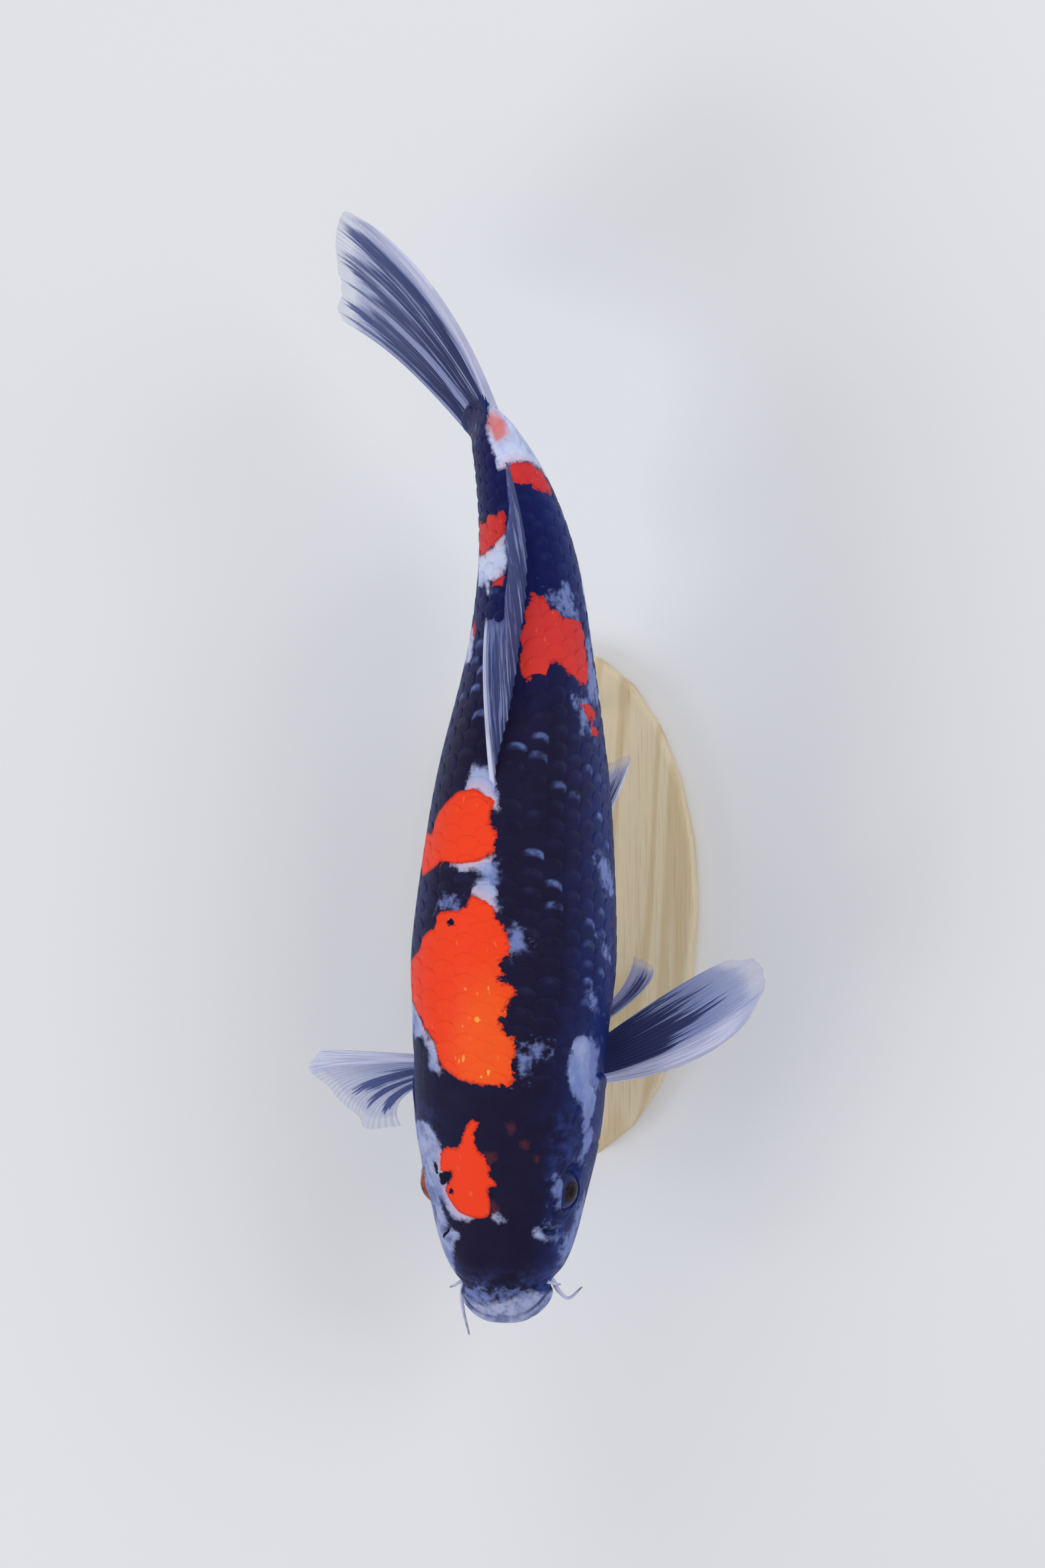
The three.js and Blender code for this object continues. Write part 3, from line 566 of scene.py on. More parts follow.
def gillFall(s, height):  # how far the flank lies below the gill cover, how much that shows, how far behind
    gill = skin["gill"]
    behind, rise = behindArch(gill, s, height)
    seen = softStep(1.04, 0.86, rise)
    fall = gill["step"] * seen * softStep(-0.5, 0.9, behind) * np.exp(-np.maximum(behind, 0) / gill["fade"])
    return fall, seen, behind


def behindLine(name, s, w):
    place, bend = skin["lines"][name]
    return s - place - bend * w ** 2


def nostrilPlaces(s, w):  # millimetres along and across each nostril from its middle
    for place, arc in skin["nostrils"]:
        turn = skin["nostrilTurn"] * np.sign(arc)
        yield ((s - place) * np.cos(turn) + (w - arc) * np.sin(turn),
               (w - arc) * np.cos(turn) - (s - place) * np.sin(turn))


def skinRelief(s, w, height):  # how far the skin stands out from the plain form, in millimetres
    relief, reach = np.zeros(s.shape), np.abs(w)
    for u, v in nostrilPlaces(s, w):
        relief += sum(rise * swell(u + ahead, long) * swell(v, wide)
                      for rise, ahead, long, wide in skin["nostrilForms"])
        rise, radius, width = skin["nostrilRim"]
        relief += rise * swell(np.hypot(u, v) - radius, width)
    upper = (reach < skin["muzzle"]) & (height > skin["mouth"])
    for name, (deep, width, far, near) in skin["folds"].items():
        relief -= upper * deep * swell(behindLine(name, s, w), width) * softStep(far, near, reach)
    for (rise, place, width), here in zip(skin["lips"], (height > -9, height <= -9, height < skin["mouth"])):
        relief += here * rise * swell(s - place, width)
    fall, seen, behind = gillFall(s, height)
    relief += 0.4 * seen * swell(behind + 1.6, 1.6) - fall
    behind, rise = behindArch(skin["cheek"], s, height)
    relief -= 0.45 * softStep(1.05, 0.8, rise) * swell(behind, 1.2)
    throat = height + 34 + 0.06 * (86 - s)  # the fold along the lower edge of the gill cover
    relief -= 0.9 * swell(throat, 1.2) * softStep(40, 52, s) * softStep(96, 84, s)
    nape = behindLine("nape", s, w)
    relief -= 0.1 * softStep(-2, 2, nape) * np.exp(-np.maximum(nape, 0) / 6) * softStep(40, 30, reach)
    return relief


def creaseShade(points, s, w, height):  # 0 to 1 where painted shade sits in a fold
    reach, upper = np.abs(w), height > skin["mouth"]
    rim = swell(behindLine("rim", s, w), 0.8) * softStep(34, 26, reach) * upper
    foldShade = rim * (0.35 + 0.75 * softStep(6, 16, reach))
    foldShade += 0.4 * swell(behindLine("lip", s, w), 1.3) * softStep(34, 24, reach) * upper
    for u, v in nostrilPlaces(s, w):
        foldShade += sum(dark * swell(u + ahead, long) * swell(v, wide)
                    for dark, ahead, long, wide in skin["nostrilShades"])
    for side in (1, -1):
        axis, out, a, b, spread = fromEye(points, side)
        foldShade += (out > 0) * sum(dark * swell(spread - place, width)
                                for dark, place, width in skin["eyeShades"])
    return np.clip(foldShade, 0, 1)


def heightAt(points, s):  # millimetres above the backbone
    origin, tail, left, up = frameAt(s)
    return ((points - origin) * up).sum(-1)


def taperTail(points, s):  # the sides close in on the roots of the tail fin's rays
    origin, tail, left, up = frameAt(np.clip(s, 0, fish["length"]))
    out = ((points - origin) * left).sum(-1)
    return points - left * (out * skin["narrow"] * softStep(384, 402, s))[..., None]


def quadCorners(places, otherPlaces, i, j):  # where the corners of a grid's quads lie on the texture
    return np.stack([np.stack([places[i + a], otherPlaces[j + b]], -1)
                     for a, b in ((0, 0), (0, 1), (1, 1), (1, 0))], 1)


def makeSkin():
    count, length = skin["around"], fish["length"]
    front = np.linspace(0, 2, 13)[:-1]  # the lips, ahead of the tables
    headS = np.arange(0, skin["headEnd"], skin["headStep"])
    bodyS = np.append(np.arange(skin["headEnd"], length - 1, skin["bodyStep"]), length)
    ringT = np.concatenate([front, ringOf(headS), ringOf(bodyS)])
    theta = np.pi / 2 - np.arange(count) * 2 * np.pi / count
    t, angle = ringT[:, None] + 0 * theta[None], theta[None] + 0 * ringT[:, None]
    ringS = sectionAt[0](ringT)
    inset = -skin["coatDepth"] * softStep(*skin["coatFrom"], ringS)
    points = bodyPoint(t, angle, inset[:, None] + 0 * t)
    step = np.linalg.norm(np.diff(np.concatenate([points, points[:, :1]], 1), axis=1), axis=2)
    arc = np.concatenate([np.zeros((len(ringT), 1)), np.cumsum(step, 1)], 1)
    w = np.where(np.arange(count)[None] <= count // 2, arc[:, :-1], arc[:, :-1] - arc[:, -1:])
    s = ringS[:, None] + 0 * w
    height = heightAt(points, s)
    normal = np.cross(np.roll(points, -1, 1) - np.roll(points, 1, 1), np.gradient(points, axis=0))
    normal /= np.maximum(np.linalg.norm(normal, axis=-1, keepdims=True), 1e-9)
    relief = skinRelief(s, w, height) * (ringT > 1.2)[:, None]
    points = taperTail(settleEyes(points + normal * relief[..., None]), s)
    # round off the end of the tail inside the roots of the fin rays
    o, a, l, u = frameAt(length)
    for ahead, tall, broad in skin["end"]:
        off = points[len(ringT) - 1] - o
        ring = o + a * ahead + l * (off @ l)[:, None] * broad + u * (off @ u)[:, None] * tall
        points, s = np.concatenate([points, [ring]]), np.concatenate([s, 0 * s[-1:] + length + ahead])
        w, height = np.concatenate([w, w[-1:]]), np.concatenate([height, height[-1:]])
    crease = creaseShade(points, s, w, height)
    rows = len(points)
    faces, i, j = gridFaces(rows, count, closed=True)
    corners = quadCorners(np.linspace(0.01, 0.99, rows), np.arange(count + 1) / count, i, j)
    flat = np.concatenate([points.reshape(-1, 3), [points[0].mean(0)], [points[-1].mean(0)]])
    mouth, tip, last = len(flat) - 2, len(flat) - 1, (rows - 1) * count
    fans, fanCorners = [], []
    for k in range(count):
        n = (k + 1) % count
        fans += [(mouth, n, k), (tip, last + k, last + n)]
        fanCorners += [(0, k / count), (0.01, (k + 1) / count), (0.01, k / count),
                       (1, k / count), (0.99, k / count), (0.99, (k + 1) / count)]
    flatS, flatW = np.append(s.ravel(), skin["caps"]), np.append(w.ravel(), [0, 0])
    fields = markingFields(flatS, flatW)
    # there is no scale pattern here: every point is far in from an edge
    fields.update(marginField=0 * flatS + 50, lieField=0 * flatS, paleField=0 * flatS,
                  creaseField=np.append(crease.ravel(), [0, 0]))
    return makePiece("koiSkin", flat, faces.tolist() + fans, koiSkin, fields,
                     np.concatenate([corners.reshape(-1, 2), np.array(fanCorners)]),
                     ["head", "gill_cover_left", "gill_cover_right", "trunk", "tail_stem"])


skinPiece = makeSkin()
print("skin made", len(skinPiece.data.polygons))

# scales
scales = {
    "pitch": [(95, 8.4), (200, 8.2), (320, 7.4), (392, 5.6)],
    "row": [(95, 10.2), (170, 10.8), (280, 9), (392, 6)],
    "length": 1.72, "width": 1.36, "rootLift": -0.62, "edgeLift": 0.03, "sideDrop": 0.5, "rim": 0.01,
    "lateral": 95,  # where the lateral line runs, in degrees round from the ridge
    # its length and skew vary, its free edge is round, its root is narrow, and its edges drop at the sides
    "lengths": (0.95, 1.06), "skew": 0.05, "round": (0.86, 0.97, 2.1), "root": (0.72, 0.28, 1.6),
    "lifts": (-0.01, 0.02), "dropFrom": 0.78, "back": 0.35, "middle": 0.3,
    "pores": (0.28, 0.9, 0.45, 0.95),  # the pore line's ridge: rise, width, and from where to where along
    "flatter": [(0.45, 300, 390), (0.55, 150, 100)],  # how much flatter towards tail and nape
    "ownColour": 0.86, "patch": 0.003,  # how far a scale shows the markings at each point, not at its middle
    # where the scales begin: share of the way from ridge to belly, and millimetres along
    "start": [(0, 99), (0.2, 103), (0.33, 112), (0.45, 117), (0.6, 117), (0.75, 108), (1, 98)], "end": 399,
    "ridge": (99, 386), "dorsal": (222, 328),  # the row on the ridge, which the dorsal fin interrupts
    "along": 6, "across": 8, "seed": 11,
}


def latticePlaces():  # along, round, pitch, row and whether it is on the lateral line, for each scale
    pitchAt, rowAt, startAt = (smoothThrough(scales[key]) for key in ("pitch", "row", "start"))
    places = []
    for side in (1, -1):
        for k in range(-9, 10):
            ahead = 90.0 + (0.5 * float(pitchAt(90)) if k % 2 else 0)
            while ahead < scales["end"]:
                s = ahead
                pitch, row, girth = (float(at(s)) for at in (pitchAt, rowAt, girthAt))
                ahead += pitch
                ring = int(np.interp(s, tableS, np.arange(ringCount)))
                w = np.interp(math.radians(scales["lateral"]), tableAngle, tableArc[ring]) + k * row
                if w < row * 0.42 or w > girth - row * 0.3:
                    continue
                if s < startAt(w / girth) or (k and s > scales["end"] - 2 - abs(k) * 1.2):
                    continue
                places.append((s, side * w, pitch, row, k == 0))
    s, end = scales["ridge"]
    while s < end:
        pitch, row = float(pitchAt(s)), float(rowAt(s))
        if s < scales["dorsal"][0] or s > scales["dorsal"][1]:
            places.append((s, 0.0, pitch, row, False))
        s += pitch
    return sorted(places, key=lambda place: -place[0])


def paleShares(places, rng):  # how pale each scale on the black is
    pale = rng.uniform(0, 0.07, len(places))
    where = np.array([place[:2] for place in places])
    for s, w in markings["paleScales"]:
        nearest = np.argmin(np.hypot(where[:, 0] + driftAhead(s) - s, where[:, 1] - driftRound(s) - w))
        pale[nearest] = rng.uniform(0.7, 0.95)
    for n, (s, w) in enumerate(where):
        share = abs(w) / float(girthAt(s))
        if rng.random() < 0.34 * swell(share - 0.42, 0.13) * (1 if s > 130 else 0.3):
            pale[n] = max(pale[n], rng.uniform(0.2, 0.55))
    return pale


def makeScales():
    places = latticePlaces()
    rng = np.random.default_rng(scales["seed"])
    pale = paleShares(places, rng)
    along, across = scales["along"], scales["across"]
    u = np.linspace(0, 1, along + 1)[:, None] ** 0.8
    v = np.linspace(-1, 1, across + 1)[None]
    each = []
    for (s, w, pitch, row, lateral), paleness in zip(places, pale):
        length, half = pitch * scales["length"], row * scales["width"] / 2
        depth, share, power = scales["round"]
        end = length * rng.uniform(*scales["lengths"])
        end = end - depth * half * (1 - np.sqrt(1 - (np.abs(v) * share) ** power))
        x = u * end
        narrow, more, widening = scales["root"]
        y = half * v * (narrow + more * np.sqrt(np.clip(u * widening, 0, 1)))
        flat = 1 - sum(fall * float(softStep(low, high, s)) for fall, low, high in scales["flatter"])
        top = scales["edgeLift"] * flat + rng.uniform(*scales["lifts"])
        high = top - (top - scales["rootLift"]) * (1 - u) ** 2.5
        beside = np.clip((np.abs(v) - scales["dropFrom"]) / (1 - scales["dropFrom"]), 0, 1)
        high = high - scales["sideDrop"] * beside ** 2 + 0 * x
        if lateral:
            rise, width, start, stop = scales["pores"]
            high = high + rise * swell(y, width) * (u > start) * (u < stop)
        margin = end - x
        # one more row of points turns the free edge down
        x, y, margin = (np.concatenate([m, m[-1:] + more]) for m, more in ((x, 0.05), (y, 0), (margin, 0)))
        high = np.concatenate([high, high[-1:] - scales["rim"] - 0.1])
        skew = rng.uniform(-scales["skew"], scales["skew"])
        one = {"s": s + x - length * scales["back"] + y * skew * 0.4, "w": w + y + x * skew, "lift": high,
               "margin": margin, "lie": y / half * (1 if w >= 0 else -1), "pale": paleness,
               "centreS": s + length * scales["middle"], "centreW": float(w)}
        each.append([values + 0 * x for values in one.values()])
    columns = dict(zip(one, np.array(each).swapaxes(0, 1)))
    allS, allW = columns["s"], columns["w"]
    onBody = np.clip(allS, 3, fish["length"])
    ring, angle = ringOf(onBody), thetaOf(onBody, allW)
    height = heightAt(bodyPoint(ring, angle), allS)
    points = bodyPoint(ring, angle, columns["lift"] - gillFall(allS, height)[0])
    past = frameAt(fish["length"])[1] * np.maximum(allS - fish["length"], 0)[..., None]
    points = taperTail(points + past, allS)
    own = scales["ownColour"]
    fields = markingFields(*((own * columns[key] + (1 - own) * columns["centre" + key.upper()]).ravel()
                             for key in ("s", "w")))
    fields.update({key + "Field": columns[key].ravel() for key in ("margin", "lie", "pale")})
    fields["creaseField"] = 0 * columns["pale"].ravel()
    base, i, j = gridFaces(along + 2, across + 1)
    oneCorners = (quadCorners(np.append(u, 1.0), (v[0] + 1) / 2, i, j) - 0.5) * scales["patch"]
    rootS, rootW = np.array([place[:2] for place in places]).T
    girth = girthAt(rootS)
    roots = np.stack([(rootS + 6) / 414, np.where(rootW < 0, rootW + 2 * girth, rootW) / (2 * girth)], -1)
    grid = (along + 2) * (across + 1)
    for name, chosen in (("koiScalesLeft", rootW >= 0), ("koiScalesRight", rootW < 0)):
        faces = np.concatenate([base + k * grid for k in range(chosen.sum())])
        corners = np.concatenate([oneCorners + root for root in roots[chosen]])
        kept = np.repeat(chosen, grid)
        makePiece(name, points[chosen].reshape(-1, 3), faces, koiSkin,
                  {key: values[kept] for key, values in fields.items()}, corners)
    return len(places)


print("scales made", makeScales())

# Fins. Along a fan of rays a runs from the leading ray (0) to the last (1), and r from root to tip. The rows
# of mid and tip say how far half of a ray and a whole ray reach tailward, leftward and upward. dark says how
# black the fan is at a place, clear how thin its web is, and strip how solid its leading rays are.
fins = {
    "finDorsal": {
        "nodes": ["fin_dorsal"], "rays": 21, "thick": (1.9, 0.5),
        "root": lambda a: (226 + 96 * a, 90, 5),
        "mid": [(0, 41, -2, 17), (0.15, 36, 0, 17), (0.3, 27, 0, 14), (0.6, 29, -4, 11), (1, 38, -4, 6)],
        "tip": [(0, 75, -1, 26), (0.15, 61, 0, 25), (0.3, 47, -1, 19),
                (0.45, 43, -3, 17), (0.7, 44, -7, 15), (1, 45, -7, 12)],
        "dark": lambda a, r: (0.62 * softStep(0.01, 0.09, a) + 0.1 * softStep(0.3, 0.7, a)
                              - 0.14 * softStep(0.7, 1, r)),
        "clear": lambda a, r: 0.2 + 0.3 * r, "strip": lambda a, r: softStep(0.04, 0.015, a), "ragged": 0.04,
    },
    "finAnal": {
        "nodes": ["fin_anal"], "rays": 9, "thick": (1.8, 0.5),
        "root": lambda a: (303 + 30 * a, -90, 5),
        "mid": [(0, 13, 0, -18), (0.3, 15, 0, -18), (1, 10, 0, -6)],
        "tip": [(0, 33, 0, -33), (0.3, 34, 0, -31), (1, 20, 0, -12)],
        "dark": lambda a, r: 0.75 - 0.7 * r - 0.3 * swell(a, 0.1),
        "clear": lambda a, r: 0.2 + 0.45 * r, "strip": lambda a, r: softStep(0.16, 0.05, a), "ragged": 0.04,
    },
    "finCaudal": {
        "nodes": ["fin_caudal_upper", "fin_caudal_lower"], "rays": 27, "thick": (2.3, 0.5),
        "root": lambda a: (393, 20.7 - 41.4 * a, None),
        "mid": [(0, 45, -2, 25), (0.3, 52, -6, 10), (0.5, 49, -4, -1), (0.7, 49, -1, -14), (1, 48, 1, -24)],
        "tip": [(0, 88, -18, 41), (0.1, 93, -23, 46), (0.3, 91, -23, 24), (0.5, 89, -16, -5),
                (0.7, 92, -7, -32), (0.9, 93, -4, -51), (1, 88, -4, -47)],
        "dark": lambda a, r: (0.02 + (0.67 - 0.3 * swell(a - 0.56, 0.1) + 0.12 * np.sin(a * 50))
                              * softStep(0.05, 0.14, a) * softStep(1.12, 0.72, r + 0.1 * np.sin(a * 31))
                              * softStep(1.0, 0.9, a)),
        "clear": lambda a, r: 0.1 + 0.55 * softStep(0.2, 1, r), "strip": lambda a, r: softStep(0.12, 0.05, a),
        "ragged": 0.006,
    },
    "finPectoralLeft": {
        "nodes": ["fin_pectoral_left"], "rays": 18, "thick": (2.2, 0.45),
        "root": lambda a: (103 + 15 * a, -40 - 6 * a, 4),
        "mid": [(0, 12, 43, 7), (0.25, 19, 44, 6), (0.6, 25, 41, 6), (1, 27, 35, 5)],
        "tip": [(0, 34, 71, 6), (0.25, 44, 77, 5), (0.6, 50, 74, 4), (1, 43, 61, 3)],
        "dark": lambda a, r: (0.04 + 0.86 * softStep(0.86, 0.2, r + 0.1 * np.sin(a * 23))
                              * softStep(0.1 + 0.16 * r, 0.2 + 0.18 * r, a)
                              * (1 - 0.3 * softStep(0.9, 1, a) * softStep(0.1, 0.3, r))),
        "clear": lambda a, r: 0.08 + 0.55 * softStep(0.4, 1, r),
        "strip": lambda a, r: softStep(0.2 + 0.16 * r, 0.08 + 0.12 * r, a) * softStep(1.05, 0.8, r),
        "ragged": 0.02,
    },
    "finPectoralLeftRear": {
        "nodes": ["fin_pectoral_left_rear"], "rays": 8, "thick": (1.7, 0.45),
        "root": lambda a: (124 + 6 * a, -50 - 2 * a, 4),
        "mid": [(0, 20, 24, 4), (1, 15, 16, 3)],
        "tip": [(0, 32, 29, 2), (0.5, 32, 25, 1), (1, 30, 20, -1)],
        "dark": lambda a, r: 0.1 + 0.7 * swell(a - 0.4, 0.3) * softStep(1.1, 0.5, r),
        "clear": lambda a, r: 0.15 + 0.5 * r, "strip": lambda a, r: 0 * a * r, "ragged": 0.05,
    },
    "finPectoralRight": {
        "nodes": ["fin_pectoral_right"], "rays": 18, "thick": (2.2, 0.45),
        "root": lambda a: (110 - 4 * a, -140 + 10 * a, 4),
        "mid": [(0, -1, -46, -13), (0.25, -5, -51, -14), (0.5, -9, -47, -14), (0.7, -14, -43, -14),
                (1, -15, -33, -11)],
        "tip": [(0, -3, -74, -30), (0.25, -11, -82, -32), (0.5, -21, -70, -30),
                (0.7, -30, -59, -28), (0.85, -34, -54, -25), (1, -31, -38, -21)],
        "dark": lambda a, r: (0.04 + 0.34 * softStep(0.34, 0.5, a) * softStep(0.85, 0.35, r) + sum(
            0.5 * swell(a - c, 0.04) for c in (0.6, 0.76, 0.93)) * softStep(0.98, 0.7, r)),
        "clear": lambda a, r: 0.3 + 0.5 * softStep(0.15, 0.8, r),
        "strip": lambda a, r: softStep(0.34, 0.26, a), "ragged": 0.02,
    },
}
for side, name, node in ((1, "finPelvicLeft", "fin_pelvic_left"), (-1, "finPelvicRight", "fin_pelvic_right")):
    fins[name] = {
        "nodes": [node], "rays": 9, "thick": (1.8, 0.5),
        "root": lambda a, side=side: (192 + 9 * a, side * (24 - 10 * a) - 90, 4),
        "mid": [(0, 31, side * 11, -7), (1, 21, side * 6, -10)],
        "tip": [(0, 54, side * 18, -10), (0.3, 54, side * 18, -11), (1, 41, side * 8, -12)],
        "dark": lambda a, r: 0.65 * softStep(1, 0.5, r) * softStep(0.05, 0.2, a),
        "clear": lambda a, r: 0.15 + 0.45 * r, "strip": lambda a, r: softStep(0.18, 0.06, a), "ragged": 0.04,
    }
finMake = {
    "perRay": 7, "steps": 34, "webShare": 0.36,
    # from where to where out a ray splits, how high the two halves are, and how wide the leading ray is
    "fork": (0.42, 0.62), "halves": 0.9, "leading": 0.5,
    # the web's ripple: how high, how often across and how often out; and the waves of the ragged edge
    "ripple": (0.5, 1.3, 5), "waves": (0.9, 1.7, 3.1),
    # how much thinner and how much clearer the edge is, and from where out
    "thinEdge": (0.45, 0.96), "clearEdge": (0.6, 0.82),
    "tuck": (0.06, 3.2, 7),  # at the tail fin's corners: how wide, how far in, and how far ahead
    # streaks of pigment: how often across a ray and along it, detail and roughness
    "veins": {"streak": (1.0, 1.2, 4, 0.62), "fine": (3.4, 2.6, 3, 0.5)},
    "fields": ["ridge", "strip", "dark", "clear"],
    "patterns": {
        "black": ({"start": -1.4, "dark": 1, "streak": 1.9, "fine": 0.9, "strip": -0.5}, (0.38, 0.62)),
        # the web is clearest where no pigment and no strip lies, and along the free edge
        "unstripped": ({"start": 1.0, "strip": -0.85},), "unstained": ({"start": 0.95, "black": -0.75},),
        "open": ({"clear": 1}, None, "unstained", "unstripped"), "edge": ({"along": 1}, (0.88, 1.0), 0.82),
    },
    "layers": {
        "web": ["#8894cc", ("#a2b2e8", {"clear": 1}), ("#b0bae0", {"ridge": 1}, (0.3, 0.9)),
                ("#d8dcf8", {"strip": 1}), ("#767ba8", {"fine": 1}, (0.42, 0.68), 0.5)],
        "ink": ["#191f50", ("#4a5a9e", {"clear": 1})],
        "fin": ["web", ("ink", {"black": 0.92})],
    },
}


def finMaterial():
    # fin: horny rays in a thin clear web, with black pigment that streaks out along the rays
    material, tree = newMaterial("koiFinRays")
    known = addPatterns(tree, {"fields": ["across", "along"]})
    for name, (across, along, detail, rough) in finMake["veins"].items():
        ends = {"X": weigh(tree, known, {"across": across}), "Y": weigh(tree, known, {"along": along})}
        known[name] = addNode(tree, "TexNoise", {
            "Vector": addNode(tree, "CombineXYZ", ends), "Scale": 1.0, "Detail": detail,
            "Roughness": rough}, "Fac")
    known = addPatterns(tree, finMake, **known)
    clear = known["open"]
    between = addNode(tree, "MapRange", {0: known["ridge"], 1: 0.2, 2: 0.9, 3: 1.0, 4: 0.65})
    for operation, other in (("MULTIPLY", between), ("MAXIMUM", known["edge"])):
        clear = addNode(tree, "Math", {0: clear, 1: other}, operation=operation)
    finishMaterial(tree, {
        "Base Color": layCoats(tree, known, finMake["layers"]),
        "Roughness": 0.5, "IOR": 1.42, "Specular IOR Level": 0.18,
        "Alpha": addNode(tree, "Math", {0: 1.0, 1: clear}, operation="SUBTRACT", use_clamp=True),
        "Normal": addNode(tree, "Bump", {"Strength": 0.3, "Distance": 0.0002, "Height": known["fine"]})})
    return material


koiFin = finMaterial()


def finPoint(fin, a, r):
    s, angle, sink = fin["root"](a)
    origin, tail, left, up = frameAt(s)
    if sink is None:  # the tail fin's rays start on a line up and down the end of the body
        wide, inward, ahead = finMake["tuck"]
        tuck = (swell(a, wide) + swell(1 - a, wide)) * (1 - r) ** 4
        start = origin + up * (angle - inward * np.sign(angle) * tuck)[..., None]
        start = start - tail * (ahead * tuck)[..., None]
    else:
        start = surface(s + 0 * np.asarray(a), angle, -sink)
    for k, way in ((1, tail), (2, left), (3, up)):
        half, tip = (smoothThrough([(row[0], row[k]) for row in fin[part]])(a) for part in ("mid", "tip"))
        start = start + way * (r * (4 * half - tip) + r * r * (2 * tip - 4 * half))[..., None]
    return start


def makeFin(name, fin, seed):
    rng = np.random.default_rng(seed)
    columns, rows = (fin["rays"] - 1) * finMake["perRay"] + 1, finMake["steps"] + 1
    a, r = np.linspace(0, 1, columns)[:, None], np.linspace(0, 1, rows)[None]
    phase = a * (fin["rays"] - 1)
    # a ray is whole near its root and split in two further out, and the leading ray stays whole
    whole, split = np.cos(np.pi * phase) ** 2, np.cos(2 * np.pi * phase) ** 2 * finMake["halves"]
    forks = softStep(*finMake["fork"], r)
    ridge = np.maximum(whole ** 3 * (1 - forks) + split ** 2 * forks, swell(phase, finMake["leading"]))
    waves = sum(np.sin(phase * k + rng.uniform(0, 6.3)) for k in finMake["waves"]) / 3
    tipR = 1 - fin["ragged"] * (0.5 + 0.5 * waves)
    tipR[:3] = 1
    grid = tipR * r
    a = a + 0 * grid
    points = finPoint(fin, a, grid)
    normal = np.cross(np.gradient(points, axis=0), np.gradient(points, axis=1))
    normal /= np.linalg.norm(normal, axis=-1, keepdims=True)
    high, across, out = finMake["ripple"]
    points = points + normal * (high * grid * np.sin(phase * across + out * grid + seed))[..., None]
    root, edge = fin["thick"]
    full = (root + (edge - root) * grid ** 0.6) * (1 + 0.5 * swell(phase, 0.6))
    half = full * (finMake["webShare"] + (1 - finMake["webShare"]) * ridge) / 2
    thinner, thinFrom = finMake["thinEdge"]
    half = (half * (1 - thinner * softStep(thinFrom, 1, r)))[..., None]
    flat = np.concatenate([(points + normal * half).reshape(-1, 3), (points - normal * half).reshape(-1, 3)])
    count = columns * rows
    quads = gridFaces(columns, rows)[0]
    rim = ([k * rows for k in range(columns)] + [(columns - 1) * rows + k for k in range(1, rows)]
           + [k * rows + rows - 1 for k in range(columns - 2, -1, -1)] + [k for k in range(rows - 2, 0, -1)])
    walls = [(p, q, q + count, p + count) for p, q in zip(rim, rim[1:] + rim[:1])]
    faces = quads[:, ::-1].tolist() + (quads + count).tolist() + walls
    clearer, clearFrom = finMake["clearEdge"]
    fields = {"acrossField": phase + seed * 37, "alongField": grid, "ridgeField": ridge,
              "darkField": fin["dark"](a, grid), "stripField": fin["strip"](a, grid),
              "clearField": np.clip(fin["clear"](a, grid) + clearer * softStep(clearFrom, 1, r), 0, 0.95)}
    fields = {key: np.tile((values + 0 * grid).ravel(), 2) for key, values in fields.items()}
    makePiece(name, flat, faces, koiFin, fields, None, fin["nodes"])


for seed, (name, fin) in enumerate(fins.items()):
    makeFin(name, fin, seed + 1)
print("fins made")

# eyes
eyes = {
    "bulge": 0.1, "black": "#0b0a12",
    # the side, the iris, its flecks and its rim, and how many degrees off its middle pupil and iris end
    "eyeLeft": {"side": 1, "node": "eye_left", "finish": "koiEyeSlate",
                "iris": "#33222a", "fleck": "#1a1420", "rim": "#2a3564", "pupil": 12, "edge": 26},
    "eyeRight": {"side": -1, "node": "eye_right", "finish": "koiEyeRust",
                 "iris": "#ab4a2b", "fleck": "#74301f", "rim": "#3a3350", "pupil": 17, "edge": 54},
}


def eyeMaterial(eye):
    # eye: clear cornea over a flecked iris, with a soft black pupil
    material, tree = newMaterial(eye["finish"])
    known = addPatterns(tree, {
        "fields": ["angle"],
        "noises": {"haze": (2.5, 3, (0, 0, 0), (1, 1, 1)), "flecks": (1.3, 4, (0.3, 0.5, 0.2), (1, 1, 1))},
        "patterns": {"off": ({"start": -4, "angle": 1, "haze": 8},)}})
    base = layCoats(tree, known, {
        "iris": [eye["iris"], (eye["fleck"], {"flecks": 1}, (0.38, 0.66)),
                 (eye["rim"], {"off": 1}, (eye["edge"] - 4, eye["edge"] + 5))],
        "eye": [eyes["black"], ("iris", {"off": 1}, (eye["pupil"] - 2, eye["pupil"] + 4))]})
    finishMaterial(tree, {"Base Color": base, "Roughness": 0.24, "IOR": 1.36, "Specular IOR Level": 0.14,
                          "Coat Weight": 0.05, "Coat Roughness": 0.05})
    return material


